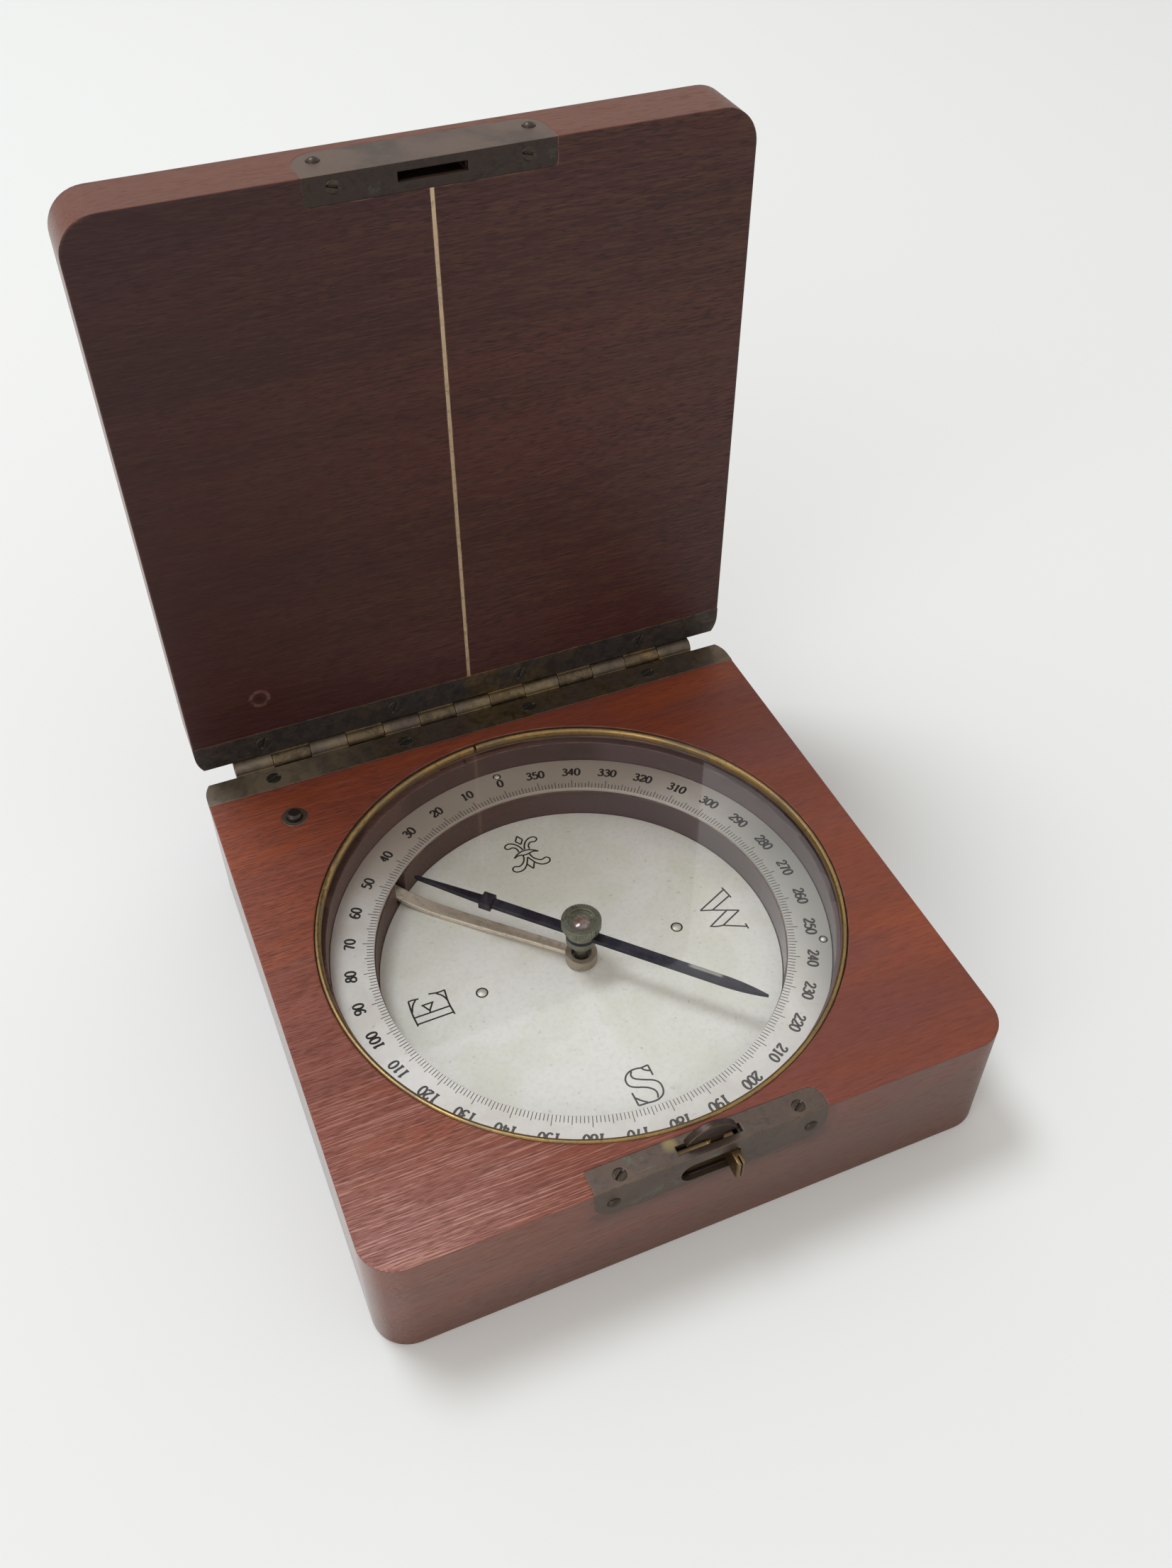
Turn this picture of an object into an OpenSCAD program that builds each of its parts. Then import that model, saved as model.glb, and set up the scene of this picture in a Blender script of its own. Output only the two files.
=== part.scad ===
// Surveyor's box compass: a square mahogany case with a hinged lid that stands upright.
// Millimetres. The origin is the middle of the case's underside, +Y points to the hinge, +Z up.
// The lid is drawn open at ninety degrees. Closing it presses a plunger whose lever lifts the needle.

/* [Case] */
// Width of the case
case_w = 101.6; // [96:0.1:130]
// Depth of the case from front to back
case_d = 101.6; // [99:0.1:130]
// Height of the lower case
base_h = 23.1; // [21:0.1:32]
// Thickness of the lid
lid_t = 10; // [7:0.1:16]
// Radius of the upright corners
corner_r = 5.8; // [3:0.1:7]
// Rounding of the outer edges
edge_r = 0.25; // [0.2:0.05:0.8]

/* [Dial well] */
// How far the dial's centre lies in front of the case's centre
dial_shift = 2.8; // [2.4:0.1:3]
// Depth of the degree ring's face below the case top
ring_depth = 7.1; // [6.6:0.1:7.6]
// Radial width of the degree ring
ring_w = 7.2; // [6:0.1:9]
// Thickness of the degree ring
ring_t = 0.8; // [0.5:0.1:1.2]
// Thickness of the dial plate
plate_t = 0.8; // [0.5:0.1:1.2]
// Depth of the dial plate's face below the case top
plate_depth = 13.6; // [13.4:0.1:14]
// Width of the bare ledge between the well and the degree ring
ring_ledge = 0.2; // [0:0.1:0.6]
// Distance of each dial plate pin from the dial's centre
plate_pin_x = 17.9; // [10:0.1:28]
// Diameter of the dial plate pins
plate_pin_d = 1.6; // [1:0.1:2.4]
// Distance of the ring pins from the ring's rim
ring_pin_in = 1.3; // [1:0.1:2.5]
// Diameter of the ring pins
ring_pin_d = 1; // [0.8:0.1:1.2]
// Width of the groove round each pin's head
pin_groove = 0.25; // [0.1:0.05:0.3]
// Height of the domed heads of the dial's pins
pin_dome_h = 0.2; // [0.1:0.05:0.4]

/* [Glass and bezel] */
// Wood left between the spring ring's bore and the front of the case
bezel_margin = 4.8; // [4.4:0.1:5.2]
// Width of the ledge that the glass rests on
glass_seat = 1.7; // [1.2:0.1:2.2]
// Radial width of the spring ring
bezel_w = 1.05; // [0.8:0.05:1.3]
// Height of the spring ring
bezel_h = 1.2; // [0.9:0.1:1.6]
// Gap where the spring ring is split
bezel_split = 0.5; // [0.2:0.1:2]
// Thickness of the glass
glass_t = 1.5; // [1:0.1:1.8]

/* [Hinge] */
// Number of knuckles along the barrel, an odd number
knuckle_n = 13; // [9:2:17]
// Length of the hinge barrel
barrel_len = 89.4; // [70:0.1:90]
// Outer radius of the knuckles
knuckle_r = 1.6; // [1.4:0.05:1.65]
// Radius of the hinge pin
hinge_pin_r = 0.65; // [0.5:0.05:0.8]
// Distance of the hinge axis from the back of the case
hinge_inset = 0.6; // [0.4:0.1:0.9]
// Width of each hinge leaf from the back of the case
leaf_w = 7.7; // [6.5:0.1:7.8]
// Thickness of the hinge leaves
leaf_t = 0.9; // [0.6:0.05:1]
// Distance from the first leaf screw to the barrel's end
leaf_screw_first = 6; // [4:0.1:10]
// Distance between neighbouring leaf screws
leaf_screw_pitch = 24.3; // [18:0.1:25]

/* [Catch and latch] */
// Width of the two catch plates
catch_w = 37; // [32:0.1:44]
// Sideways offset of the catch plates from the case's centre
catch_shift = 0.35; // [-1:0.05:1]
// Length of the front slot for the thumb lug
face_slot_len = 9.3; // [6:0.1:11]
// Depth of the leaf that lies on the mating face
catch_d = 4.1; // [3.6:0.1:4.2]
// Sheet thickness of the catch plates
catch_t = 0.9; // [0.7:0.05:1]
// Height of the lower plate's front leaf
catch_face_h = 7; // [6.8:0.1:9]
// Height of the upper plate's front leaf
lid_catch_face_h = 8; // [7:0.1:8.5]
// Corner radius of the front leaves
catch_corner_r = 4; // [2:0.1:5]
// Length of the slots for the latch head
slot_len = 10.2; // [9.6:0.1:12]
// Width of the slots for the latch
slot_w = 1.45; // [1.4:0.05:1.6]
// Distance of the slots' middle from the case's front
slot_y = 1.93; // [1.8:0.01:2.05]
// Thickness of the latch bolt
bolt_t = 1.1; // [0.8:0.05:1.15]
// How far the latch slides
latch_travel = 4; // [3:0.1:4.2]
// Width of the latch head
head_w = 8.1; // [7:0.1:8.4]
// Rise of the latch head above the neck
head_h = 2.6; // [2:0.1:3.2]
// Width of the neck under the latch head
neck_w = 2.1; // [1.6:0.1:2.6]
// How far the thumb lug stands out of the front
lug_out = 2.4; // [1.6:0.1:4]
// Width of the thumb lug
lug_w = 1.3; // [1:0.1:1.8]
// Height of the thumb lug
lug_h = 3.9; // [3:0.1:4]

/* [Needle] */
// Compass bearing of the north end, counted from +X towards +Y
needle_angle = 134; // [0:1:359]
// Clearance between the needle's north end and the degree ring
north_clear = 3.1; // [1.2:0.1:8]
// Clearance between the needle's south end and the degree ring
south_clear = 1.7; // [1.2:0.1:8]
// Width of the needle
needle_w = 1.75; // [1.2:0.05:2.4]
// Thickness of the needle
needle_t = 0.8; // [0.4:0.05:0.9]
// Depth of the needle's upper face below the case top
needle_depth = 6.1; // [5.9:0.05:6.3]
// Radius of the milled cap
cap_r = 3.35; // [2.9:0.05:4]
// Height of the milled head of the cap
cap_head_h = 1.5; // [1.2:0.1:1.8]
// Depth of the cap's top below the case top
cap_depth = 2.95; // [2.85:0.05:3.2]
// Number of grooves milled round the cap
cap_grooves = 40; // [24:1:60]
// Radius of the hub below and above the needle
hub_r = 2.6; // [2.3:0.05:2.8]
// Radius of the pivot jewel
jewel_r = 1.45; // [1.2:0.05:1.6]
// Distance of the balance rider from the pivot
rider_at = 17.3; // [8:0.1:22]
// Length of the balance rider
rider_len = 2.2; // [1:0.1:4]

/* [Needle lifter] */
// Distance of the plunger from the left side of the case
plunger_side = 13.07; // [12.5:0.01:13.5]
// Distance of the plunger from the back of the case
plunger_back = 15.67; // [15.2:0.01:16.2]
// Distance of the lever's fulcrum outside the degree ring's opening
fulcrum_out = 4.3; // [3.8:0.1:5.4]
// Radius of the fulcrum pin
fulcrum_pin_r = 0.5; // [0.4:0.05:0.6]
// How far the plunger stands out of the case top
plunger_out = 1.1; // [0.8:0.05:1.2]
// Radius of the plunger
plunger_r = 1.3; // [1:0.05:1.5]
// Outer radius of the plunger's bush
bush_r = 2.2; // [2:0.05:2.8]
// Length of the plunger's bush
bush_len = 5; // [3:0.1:6]
// Thickness of the lever's strip
lever_t = 0.8; // [0.5:0.05:0.85]
// Width of the lever at its inner end
lever_w_inner = 1.5; // [1:0.05:2]
// Width of the lever at its outer end
lever_w_outer = 2.3; // [1.6:0.05:2.6]
// Outer radius of the lifting collar
collar_r = 2.7; // [2.5:0.05:3]
// Height of the lifting collar
collar_h = 1.8; // [1.4:0.1:1.9]
// Radius of the pivot post
post_r = 1.2; // [0.9:0.05:1.4]

/* [Fasteners] */
// Head diameter of the hinge screws
hinge_screw_d = 2.6; // [2:0.1:3]
// Head diameter of the catch screws
catch_screw_d = 2.1; // [1.8:0.1:2.4]
// Height of the round pin heads on the catches' front leaves
pin_head_h = 0.6; // [0.3:0.05:0.8]
// Shank diameter of all screws and pins
shank_d = 1.1; // [0.9:0.1:1.4]
// Length of all screws and pins
screw_len = 5; // [3:0.1:6]
// Width of the brass sight line in the lid
sight_w = 0.6; // [0.3:0.1:1.5]
// Depth of the brass sight line
sight_t = 0.8; // [0.4:0.1:1.5]

/* [Fits] */
// Gap between the case and the closed lid
lid_gap = 0.1; // [0.06:0.01:0.2]
// Radial clearance of the hinge pin and the fulcrum pin
pin_clear = 0.03; // [0.02:0.01:0.06]
// Gap between neighbouring knuckles
knuckle_gap = 0.12; // [0.08:0.01:0.3]
// Clearance round the latch bolt in the wood
bolt_clear = 0.2; // [0.15:0.01:0.3]
// Radial clearance of the plunger in its bush
plunger_clear = 0.05; // [0.03:0.01:0.08]
// Clearance of the glass and the dial plates in the wood
dial_clear = 0.1; // [0.05:0.01:0.2]
// Gap between the knuckles and the wood
bevel_gap = 0.15; // [0.1:0.05:0.3]
// Gap left between the plunger and the lever
touch_gap = 0.05; // [0.03:0.01:0.1]

/* [Hidden] */
$fn = 64;
cut = 1;

mahogany = "#7a4234";
dark_mahogany = "#3f2a2a";
old_brass = "#6b5f45";
bright_brass = "#a08448";
silvered = "#bebdb0";
blued_steel = "#2b2b33";
steel = "#8a8a8a";

// Places that follow from the sizes above.
dial_y = -dial_shift;
front_y = -case_d / 2;
back_y = case_d / 2;
hinge_y = back_y - hinge_inset;
hinge_z = base_h + lid_gap / 2;
lid_z = base_h + lid_gap;
leaf_front_y = back_y - leaf_w;
leaf_edge_gap = 0.25;
leaf_back_y = hinge_y - knuckle_r - leaf_edge_gap;
hinge_bevel = hinge_inset - lid_gap / 2 + (knuckle_r + bevel_gap) * sqrt(2);
leaf_screw_y = (leaf_front_y + leaf_back_y) / 2;
knuckle_len = barrel_len / knuckle_n;
leaf_screw_n = 4;
pilot_extra = 0.6;

// Heights inside the dial well.
glass_top = base_h - bezel_h;
glass_low = glass_top - glass_t;
ring_top = base_h - ring_depth;
ring_low = ring_top - ring_t;
plate_top = base_h - plate_depth;
plate_low = plate_top - plate_t;
bezel_r = min(case_w, case_d) / 2 - dial_shift - bezel_margin;
glass_r = bezel_r - dial_clear;
ring_r = bezel_r - glass_seat;
ring_bore_r = ring_r + dial_clear;
ring_in_r = ring_r - ring_w;
well_r = ring_in_r - ring_ledge;
plate_r = well_r - dial_clear;
ring_pin_r = ring_r - ring_pin_in;
north_len = ring_in_r - north_clear;
south_len = ring_in_r - south_clear;
bezel_split_angle = 94.3;
ring_pin_angles = [90, 213, 336];
pin_groove_deep = 0.35;

// Heights of the needle and its cap.
needle_top = base_h - needle_depth;
needle_low = needle_top - needle_t;
cap_top = base_h - cap_depth;
cap_head_low = cap_top - cap_head_h;
hub_washer_h = 1.2;
hub_low = needle_low - hub_washer_h;
stem_r = hub_r - 0.9;
cap_bore_r = stem_r - 0.6;
jewel_top = cap_top - 0.45;
jewel_low = jewel_top - 1.8;
jewel_cup_r = 0.75;
jewel_cup_h = 1;
jewel_ring_w = 0.85;
tip_gap = 0.05;
tip_z = jewel_low + jewel_cup_h - tip_gap;
post_top = hub_low - 0.75;
point_r = 0.45;
point_cone_h = 1.3;
post_root = 4;
lancet_len = 8.1;
rider_w = needle_w + 0.9;
rider_h = needle_t + 0.7;

// The lever's line, measured along its own direction from the pivot post.
plunger_x = plunger_side - case_w / 2;
plunger_y = back_y - plunger_back - dial_y;
lever_angle = atan2(plunger_y, plunger_x);
plunger_at = norm([plunger_x, plunger_y]);
fulcrum_at = ring_in_r + fulcrum_out;
collar_bore_r = post_r + 0.5;
collar_low = plate_top + 0.3;
collar_top = collar_low + collar_h;
lever_end = plunger_at + 2;
lever_dip_at = ring_in_r - 7.8;
lever_dip_z = plate_top + 0.1 + lever_t;
lever_root_z = collar_top - 0.25;
lever_rise = 2.4743;
lever_fulcrum_z = lever_dip_z + lever_rise;
lever_out_z = lever_fulcrum_z + 1.63;
lever_level_at = fulcrum_at + 11.4;
lever_steps = 34;
fulcrum_z = lever_fulcrum_z - lever_t / 2;
fulcrum_boss_r = fulcrum_pin_r + 0.6;
lever_ratio_arm = plunger_at - fulcrum_at;
channel_w = lever_w_outer + 1.1;
channel_end = lever_end + 1.5;
fulcrum_pin_len = channel_w + 5;
plunger_hole_r = plunger_r + 0.3;
plunger_low = lever_out_z + touch_gap;
bush_proud = lid_gap / 2;

// The latch, seen from the front of the case.
bolt_y = front_y + slot_y;
bolt_top = base_h - catch_t - 0.15;
lug_top_drop = 2.2;
lug_top = base_h - lug_top_drop;
lug_low = lug_top - lug_h;
neck_x = catch_shift + 1;
head_x = catch_shift + 0.2;
head_low = lid_z + catch_t + 0.15;
lug_x = head_x + head_w / 2 - lug_w - 0.3;
bolt_left = head_x - head_w / 2 - 2;
bolt_right = lug_x + lug_w;
face_slot_right = bolt_right + 0.3;
face_slot_left = face_slot_right - face_slot_len;
face_slot_h = lug_h + 0.4;
face_slot_r = 0.65;
pocket_low = lug_low - bolt_clear;
pocket_roof = lid_z + catch_t + head_h + 0.15 + 0.5;
lug_slit = 0.25;
lug_end_r = 0.5;
base_catch_inner_r = [0.25, 2.2];
lid_catch_inner_r = [0.8, 0.8];
base_top_screw_x = [-13.6, 14.7];
base_face_screw_x = [-15.2, 16.3];
lid_face_screw_x = [-15, 16.5];
lid_inner_screw_x = [-13.8, 14.5];
face_screw_drop = 3.9;
lid_face_screw_drop = 5.2;
inner_screw_in = 1.75;

// Shapes shared by several pieces.

// A rectangle with four round corners, centred on the origin.
module rounded_outline(w, d, r) {
    square([w - 2 * r, d], center = true);
    square([w, d - 2 * r], center = true);
    for (x = [-1, 1]) {
        for (y = [-1, 1]) {
            translate([x * (w / 2 - r), y * (d / 2 - r)]) circle(r);
        }
    }
}

// The sliver that a rounding of radius e takes off a square edge.
module edge_profile(e) {
    difference() {
        square(e + cut);
        circle(e);
    }
}

// Takes the sharp edge off the top of a rounded block whose top is at z = 0.
module edge_rounding(w, d, r, e) {
    for (side = [0 : 3]) {
        across = side % 2 == 0 ? w : d;
        along = side % 2 == 0 ? d : w;
        rotate(side * 90) {
            translate([across / 2 - r, along / 2 - r, -e]) {
                rotate_extrude(angle = 90) translate([r - e, 0]) edge_profile(e);
            }
            translate([r - across / 2, along / 2 - e, -e]) {
                rotate([90, 0, 90]) linear_extrude(across - 2 * r) edge_profile(e);
            }
        }
    }
}

// A rounded block standing on z = 0, with its upper and lower edges eased.
module wood_block(h, low_e, top_e) {
    difference() {
        linear_extrude(h) rounded_outline(case_w, case_d, corner_r);
        translate([0, 0, h]) edge_rounding(case_w, case_d, corner_r, top_e);
        mirror([0, 0, 1]) edge_rounding(case_w, case_d, corner_r, low_e);
    }
}

// The wedge cut off the hinge edge, with the mating face at z = 0 and the wood below.
module hinge_bevel_cut() {
    translate([-case_w / 2 - cut, back_y, 0]) {
        rotate([90, 0, 90]) linear_extrude(case_w + 2 * cut) {
            polygon([[-hinge_bevel - cut, cut], [cut, -hinge_bevel - cut], [cut, cut]]);
        }
    }
}

// One hinge leaf without knuckles, face at z = 0 and thickness below.
module leaf_plate() {
    translate([0, 0, -leaf_t]) linear_extrude(leaf_t) intersection() {
        rounded_outline(case_w, case_d, corner_r);
        translate([-case_w / 2, leaf_front_y]) square([case_w, leaf_back_y - leaf_front_y]);
    }
}

// The room that a hinge leaf takes out of the wood, open towards the barrel.
module leaf_recess() {
    translate([-case_w / 2 - cut, leaf_front_y, base_h - leaf_t]) {
        cube([case_w + 2 * cut, leaf_w + cut, leaf_t + cut]);
    }
}

// Every second knuckle of the barrel, starting with number first, about the axis y = 0, z = 0.
module knuckles(first) {
    for (i = [first : 2 : knuckle_n - 1]) {
        translate([-barrel_len / 2 + i * knuckle_len + knuckle_gap / 2, 0, 0]) {
            rotate([0, 90, 0]) cylinder(h = knuckle_len - knuckle_gap, r = knuckle_r);
            translate([0, leaf_back_y - hinge_y - 0.01, -leaf_t - lid_gap / 2]) {
                cube([knuckle_len - knuckle_gap, hinge_y - leaf_back_y + 0.01, leaf_t]);
            }
        }
    }
}

// A whole hinge leaf with its knuckles; the mating face is at z = base_h.
module hinge_leaf(first) {
    difference() {
        union() {
            translate([0, 0, base_h]) leaf_plate();
            translate([0, hinge_y, hinge_z]) knuckles(first);
        }
        translate([-barrel_len / 2 - cut, hinge_y, hinge_z]) {
            rotate([0, 90, 0]) cylinder(h = barrel_len + 2 * cut, r = hinge_pin_r + pin_clear);
        }
        leaf_screws() screw_hole(hinge_screw_d);
    }
}

// Puts children at the four screws of a leaf, with +Z out of the leaf's face.
module leaf_screws() {
    for (i = [0 : leaf_screw_n - 1]) {
        x = -barrel_len / 2 + leaf_screw_first + i * leaf_screw_pitch;
        translate([x, leaf_screw_y, base_h]) children();
    }
}

// A countersunk screw hole, the face at z = 0.
module screw_hole(head_d) {
    translate([0, 0, -(head_d - shank_d) / 2]) {
        cylinder(h = (head_d - shank_d) / 2, d1 = shank_d, d2 = head_d);
    }
    translate([0, 0, -screw_len]) cylinder(h = screw_len, d = shank_d);
}

// A countersunk wood screw with a slotted head, the head's face at z = 0.
module wood_screw(head_d, turn) {
    difference() {
        screw_hole(head_d);
        rotate(turn) translate([-head_d, -0.18, -0.35]) cube([2 * head_d, 0.36, 1]);
    }
}

// The cap of a ball that rises h above a circle of diameter d at z = 0.
module dome(d, h) {
    ball_r = (pow(d / 2, 2) + pow(h, 2)) / (2 * h);
    intersection() {
        translate([0, 0, h - ball_r]) sphere(ball_r);
        cylinder(h = h, d = d);
    }
}

// A round-headed pin for an outer face, its head standing out of z = 0.
module round_pin(head_d) {
    dome(head_d, pin_head_h);
    translate([0, 0, -screw_len]) cylinder(h = screw_len + pin_head_h / 2, d = shank_d);
}

// The hole of a dial pin through a sheet of thickness t, with the groove round its head.
module dial_pin_hole(d, t) {
    translate([0, 0, -cut]) cylinder(h = t + 2 * cut, d = d);
    translate([0, 0, t - pin_groove_deep]) cylinder(h = t, d = d + 2 * pin_groove);
}

// The straight hole of a round-headed pin.
module pin_hole() {
    translate([0, 0, -screw_len]) cylinder(h = screw_len + cut, d = shank_d);
}

// Turns pieces drawn in place on the closed case into their place on the open lid.
module on_open_lid() {
    translate([0, hinge_y, hinge_z]) {
        rotate([-90, 0, 0]) translate([0, -hinge_y, -hinge_z]) children();
    }
}

// Mirrors what is drawn on the case top onto the closed lid's inner face.
module on_lid_face() {
    translate([0, 0, base_h + lid_z]) mirror([0, 0, 1]) children();
}

// An angled catch plate: one leaf on the mating face, one down the front, slotted for the latch.
module catch_plate(face_h, inner_r) {
    difference() {
        union() {
            translate([catch_shift, front_y + catch_d / 2, base_h - catch_t]) {
                linear_extrude(catch_t) catch_leaf(inner_r);
            }
            translate([catch_shift, front_y + catch_t, base_h]) rotate([90, 0, 0]) {
                linear_extrude(catch_t) catch_face(face_h);
            }
        }
        catch_slot(catch_t);
    }
}

// Outline of a catch plate's mating leaf, its left and right inner corners round.
module catch_leaf(inner_r) {
    difference() {
        square([catch_w, catch_d], center = true);
        for (side = [0, 1]) {
            r = inner_r[side];
            mirror([1 - side, 0]) translate([catch_w / 2 - r, catch_d / 2 - r]) {
                difference() {
                    square(r + cut);
                    circle(r);
                }
            }
        }
    }
}

// Outline of a catch plate's front leaf, hanging from the mating edge, lower corners round.
module catch_face(face_h) {
    difference() {
        translate([-catch_w / 2, -face_h]) square([catch_w, face_h]);
        for (side = [0, 1]) {
            mirror([side, 0]) translate([catch_w / 2 - catch_corner_r, catch_corner_r - face_h]) {
                difference() {
                    translate([0, -catch_corner_r - cut]) square(catch_corner_r + cut);
                    circle(catch_corner_r);
                }
            }
        }
    }
}

// The solid that a catch plate fills in the wood.
module catch_recess(face_h, inner_r) {
    translate([catch_shift - catch_w / 2, front_y - cut, base_h - catch_t]) {
        cube([catch_w, catch_d / 3 + cut, catch_t + cut]);
    }
    translate([catch_shift, front_y + catch_d / 2, base_h - catch_t]) {
        linear_extrude(catch_t + cut) catch_leaf(inner_r);
    }
    translate([catch_shift, front_y + catch_t, base_h]) rotate([90, 0, 0]) {
        linear_extrude(catch_t + cut) catch_face(face_h);
    }
}

// The straight slot for the latch in a mating leaf.
module catch_slot(t) {
    translate([catch_shift - slot_len / 2, bolt_y - slot_w / 2, base_h - t - cut]) {
        cube([slot_len, slot_w, t + 2 * cut]);
    }
}

// Puts children at a row of screws in a mating leaf.
module inner_screws(places) {
    for (x = places) {
        translate([x, front_y + inner_screw_in, base_h]) children();
    }
}

// Puts children at a row of screws in a front leaf.
module face_screws(places, drop) {
    for (x = places) {
        translate([x, front_y, base_h - drop]) rotate([90, 0, 0]) children();
    }
}

// Puts children on the lever's line, with +X outwards from the pivot post.
module on_lever() {
    translate([0, dial_y, 0]) rotate(lever_angle) children();
}

// The lever's upper face at distance r from the pivot post.
function ease(u) = u * u * (3 - 2 * u);
function lever_z(r) =
    r < lever_dip_at ? lever_root_z + (lever_dip_z - lever_root_z) * ease(r / lever_dip_at)
    : r < fulcrum_at ? lever_dip_z + lever_rise * pow((r - lever_dip_at) / (fulcrum_at - lever_dip_at), 2)
    : r < lever_level_at
        ? lever_fulcrum_z + (lever_out_z - lever_fulcrum_z)
            * sin(90 * (r - fulcrum_at) / (lever_level_at - fulcrum_at))
    : lever_out_z;

// Sub-parts of the lower case.

// The lower case: bored for the glass, the ring and the dial plate, and cut for the fittings.
module base_case() {
    color(mahogany) difference() {
        wood_block(base_h, edge_r, edge_r);
        translate([0, 0, base_h]) hinge_bevel_cut();
        translate([0, dial_y, 0]) {
            translate([0, 0, glass_low]) cylinder(h = base_h, r = bezel_r);
            translate([0, 0, ring_low]) cylinder(h = base_h, r = ring_bore_r);
            translate([0, 0, plate_low]) cylinder(h = base_h, r = well_r);
            translate([0, 0, plate_low - post_root]) cylinder(h = base_h, r = post_r);
            for (x = [-1, 1]) {
                translate([x * plate_pin_x, 0, plate_low - post_root]) {
                    cylinder(h = base_h, d = plate_pin_d / 2);
                }
            }
            for (a = ring_pin_angles) {
                rotate(a) translate([ring_pin_r, 0, ring_low - post_root]) {
                    cylinder(h = base_h, d = ring_pin_d);
                }
            }
        }
        leaf_recess();
        leaf_screws() screw_hole(hinge_screw_d);
        catch_recess(catch_face_h, base_catch_inner_r);
        inner_screws(base_top_screw_x) screw_hole(catch_screw_d);
        face_screws(base_face_screw_x, face_screw_drop) pin_hole();
        latch_pocket();
        lifter_channel();
    }
}

// The room behind the lower catch plate in which the latch bolt slides.
module latch_pocket() {
    back = bolt_y + bolt_t / 2 + bolt_clear;
    translate([bolt_left - latch_travel - 0.7, front_y + catch_t - cut / 2, pocket_low]) {
        cube([bolt_right + 0.7 + latch_travel + 0.7 - bolt_left,
              back - front_y - catch_t + cut / 2, base_h - pocket_low]);
    }
}

// The channel for the lever, the plunger's hole above it and the fulcrum pin across it.
module lifter_channel() {
    on_lever() {
        translate([0, -channel_w / 2, plate_top]) {
            cube([channel_end, channel_w, ring_low + ring_t / 2 - plate_top]);
        }
        translate([plunger_at, 0, plate_top + cut]) cylinder(h = base_h, r = plunger_hole_r);
        translate([plunger_at, 0, base_h - bush_len]) cylinder(h = base_h, r = bush_r);
        fulcrum_place() cylinder(h = fulcrum_pin_len, r = fulcrum_pin_r, center = true);
    }
}

// Puts children at the fulcrum with +Z along its pin; used on the lever's line.
module fulcrum_place() {
    translate([fulcrum_at, 0, fulcrum_z]) rotate([90, 0, 0]) children();
}

module base_hinge_leaf() {
    color(old_brass) hinge_leaf(0);
}

module base_hinge_screws() {
    color(old_brass) leaf_screws() wood_screw(hinge_screw_d, 25);
}

// The hinge pin, as long as the barrel.
module hinge_pin() {
    color(bright_brass) translate([-barrel_len / 2, hinge_y, hinge_z]) {
        rotate([0, 90, 0]) cylinder(h = barrel_len, r = hinge_pin_r);
    }
}

// The lower catch plate, with a second slot in front for the thumb lug.
module base_catch_plate() {
    color(old_brass) difference() {
        catch_plate(catch_face_h, base_catch_inner_r);
        translate([face_slot_left, front_y + catch_t + cut, (lug_top + lug_low) / 2]) {
            rotate([90, 0, 0]) linear_extrude(catch_t + 2 * cut) face_slot_outline();
        }
        inner_screws(base_top_screw_x) screw_hole(catch_screw_d);
        face_screws(base_face_screw_x, face_screw_drop) pin_hole();
    }
}

// The slot for the thumb lug: a full round at its left end, small corners at its right.
module face_slot_outline() {
    half = face_slot_h / 2;
    translate([half, 0]) circle(half);
    translate([(half + face_slot_len) / 2, 0]) {
        rounded_outline(face_slot_len - half, face_slot_h, face_slot_r);
    }
    translate([half, -half]) square([half, face_slot_h]);
}

module base_catch_screws() {
    color(old_brass) {
        inner_screws(base_top_screw_x) wood_screw(catch_screw_d, 35);
        face_screws(base_face_screw_x, face_screw_drop) round_pin(catch_screw_d);
    }
}

// The sliding latch: a bolt behind the plate, a half-moon head on a neck, and a folded thumb lug.
module latch_bolt() {
    color(bright_brass) {
        translate([0, bolt_y + bolt_t / 2, 0]) rotate([90, 0, 0]) linear_extrude(bolt_t) bolt_outline();
        difference() {
            translate([lug_x, front_y - lug_out, lug_low]) linear_extrude(lug_h) lug_outline();
            translate([lug_x + (lug_w - lug_slit) / 2, front_y - lug_out - cut, lug_low - cut]) {
                cube([lug_slit, lug_out * 0.6 + cut, lug_h + 2 * cut]);
            }
        }
    }
}

// The bolt seen from the front, x across and y up.
module bolt_outline() {
    head_radius = (pow(head_w / 2, 2) + pow(head_h, 2)) / (2 * head_h);
    translate([bolt_left, lug_low]) square([bolt_right - bolt_left, bolt_top - lug_low]);
    translate([neck_x - neck_w / 2, lug_low]) square([neck_w, head_low + 0.5 - lug_low]);
    intersection() {
        translate([head_x, head_low + head_h - head_radius]) circle(head_radius);
        translate([head_x - head_w, head_low]) square([2 * head_w, 2 * head_h]);
    }
}

// The thumb lug seen from above, running back to the bolt.
module lug_outline() {
    length = lug_out + slot_y;
    translate([0, lug_end_r]) square([lug_w, length - lug_end_r]);
    translate([lug_end_r, 0]) square([lug_w - 2 * lug_end_r, length]);
    translate([lug_end_r, lug_end_r]) circle(lug_end_r);
    translate([lug_w - lug_end_r, lug_end_r]) circle(lug_end_r);
}

// The split spring ring that keeps the glass down, with a half-round upper side.
module bezel_ring() {
    crown = bezel_w / 2;
    color(bright_brass) translate([0, dial_y, glass_top]) difference() {
        rotate_extrude() {
            translate([bezel_r - bezel_w, 0]) square([bezel_w, bezel_h - crown]);
            translate([bezel_r - crown, bezel_h - crown]) circle(crown);
        }
        rotate(bezel_split_angle) translate([bezel_r - 2 * bezel_w, -bezel_split / 2, -cut]) {
            cube([3 * bezel_w, bezel_split, bezel_h + 2 * cut]);
        }
    }
}

module glass_cover() {
    color("#cfd8d6", 0.3) translate([0, dial_y, glass_low]) cylinder(h = glass_t, r = glass_r);
}

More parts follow.
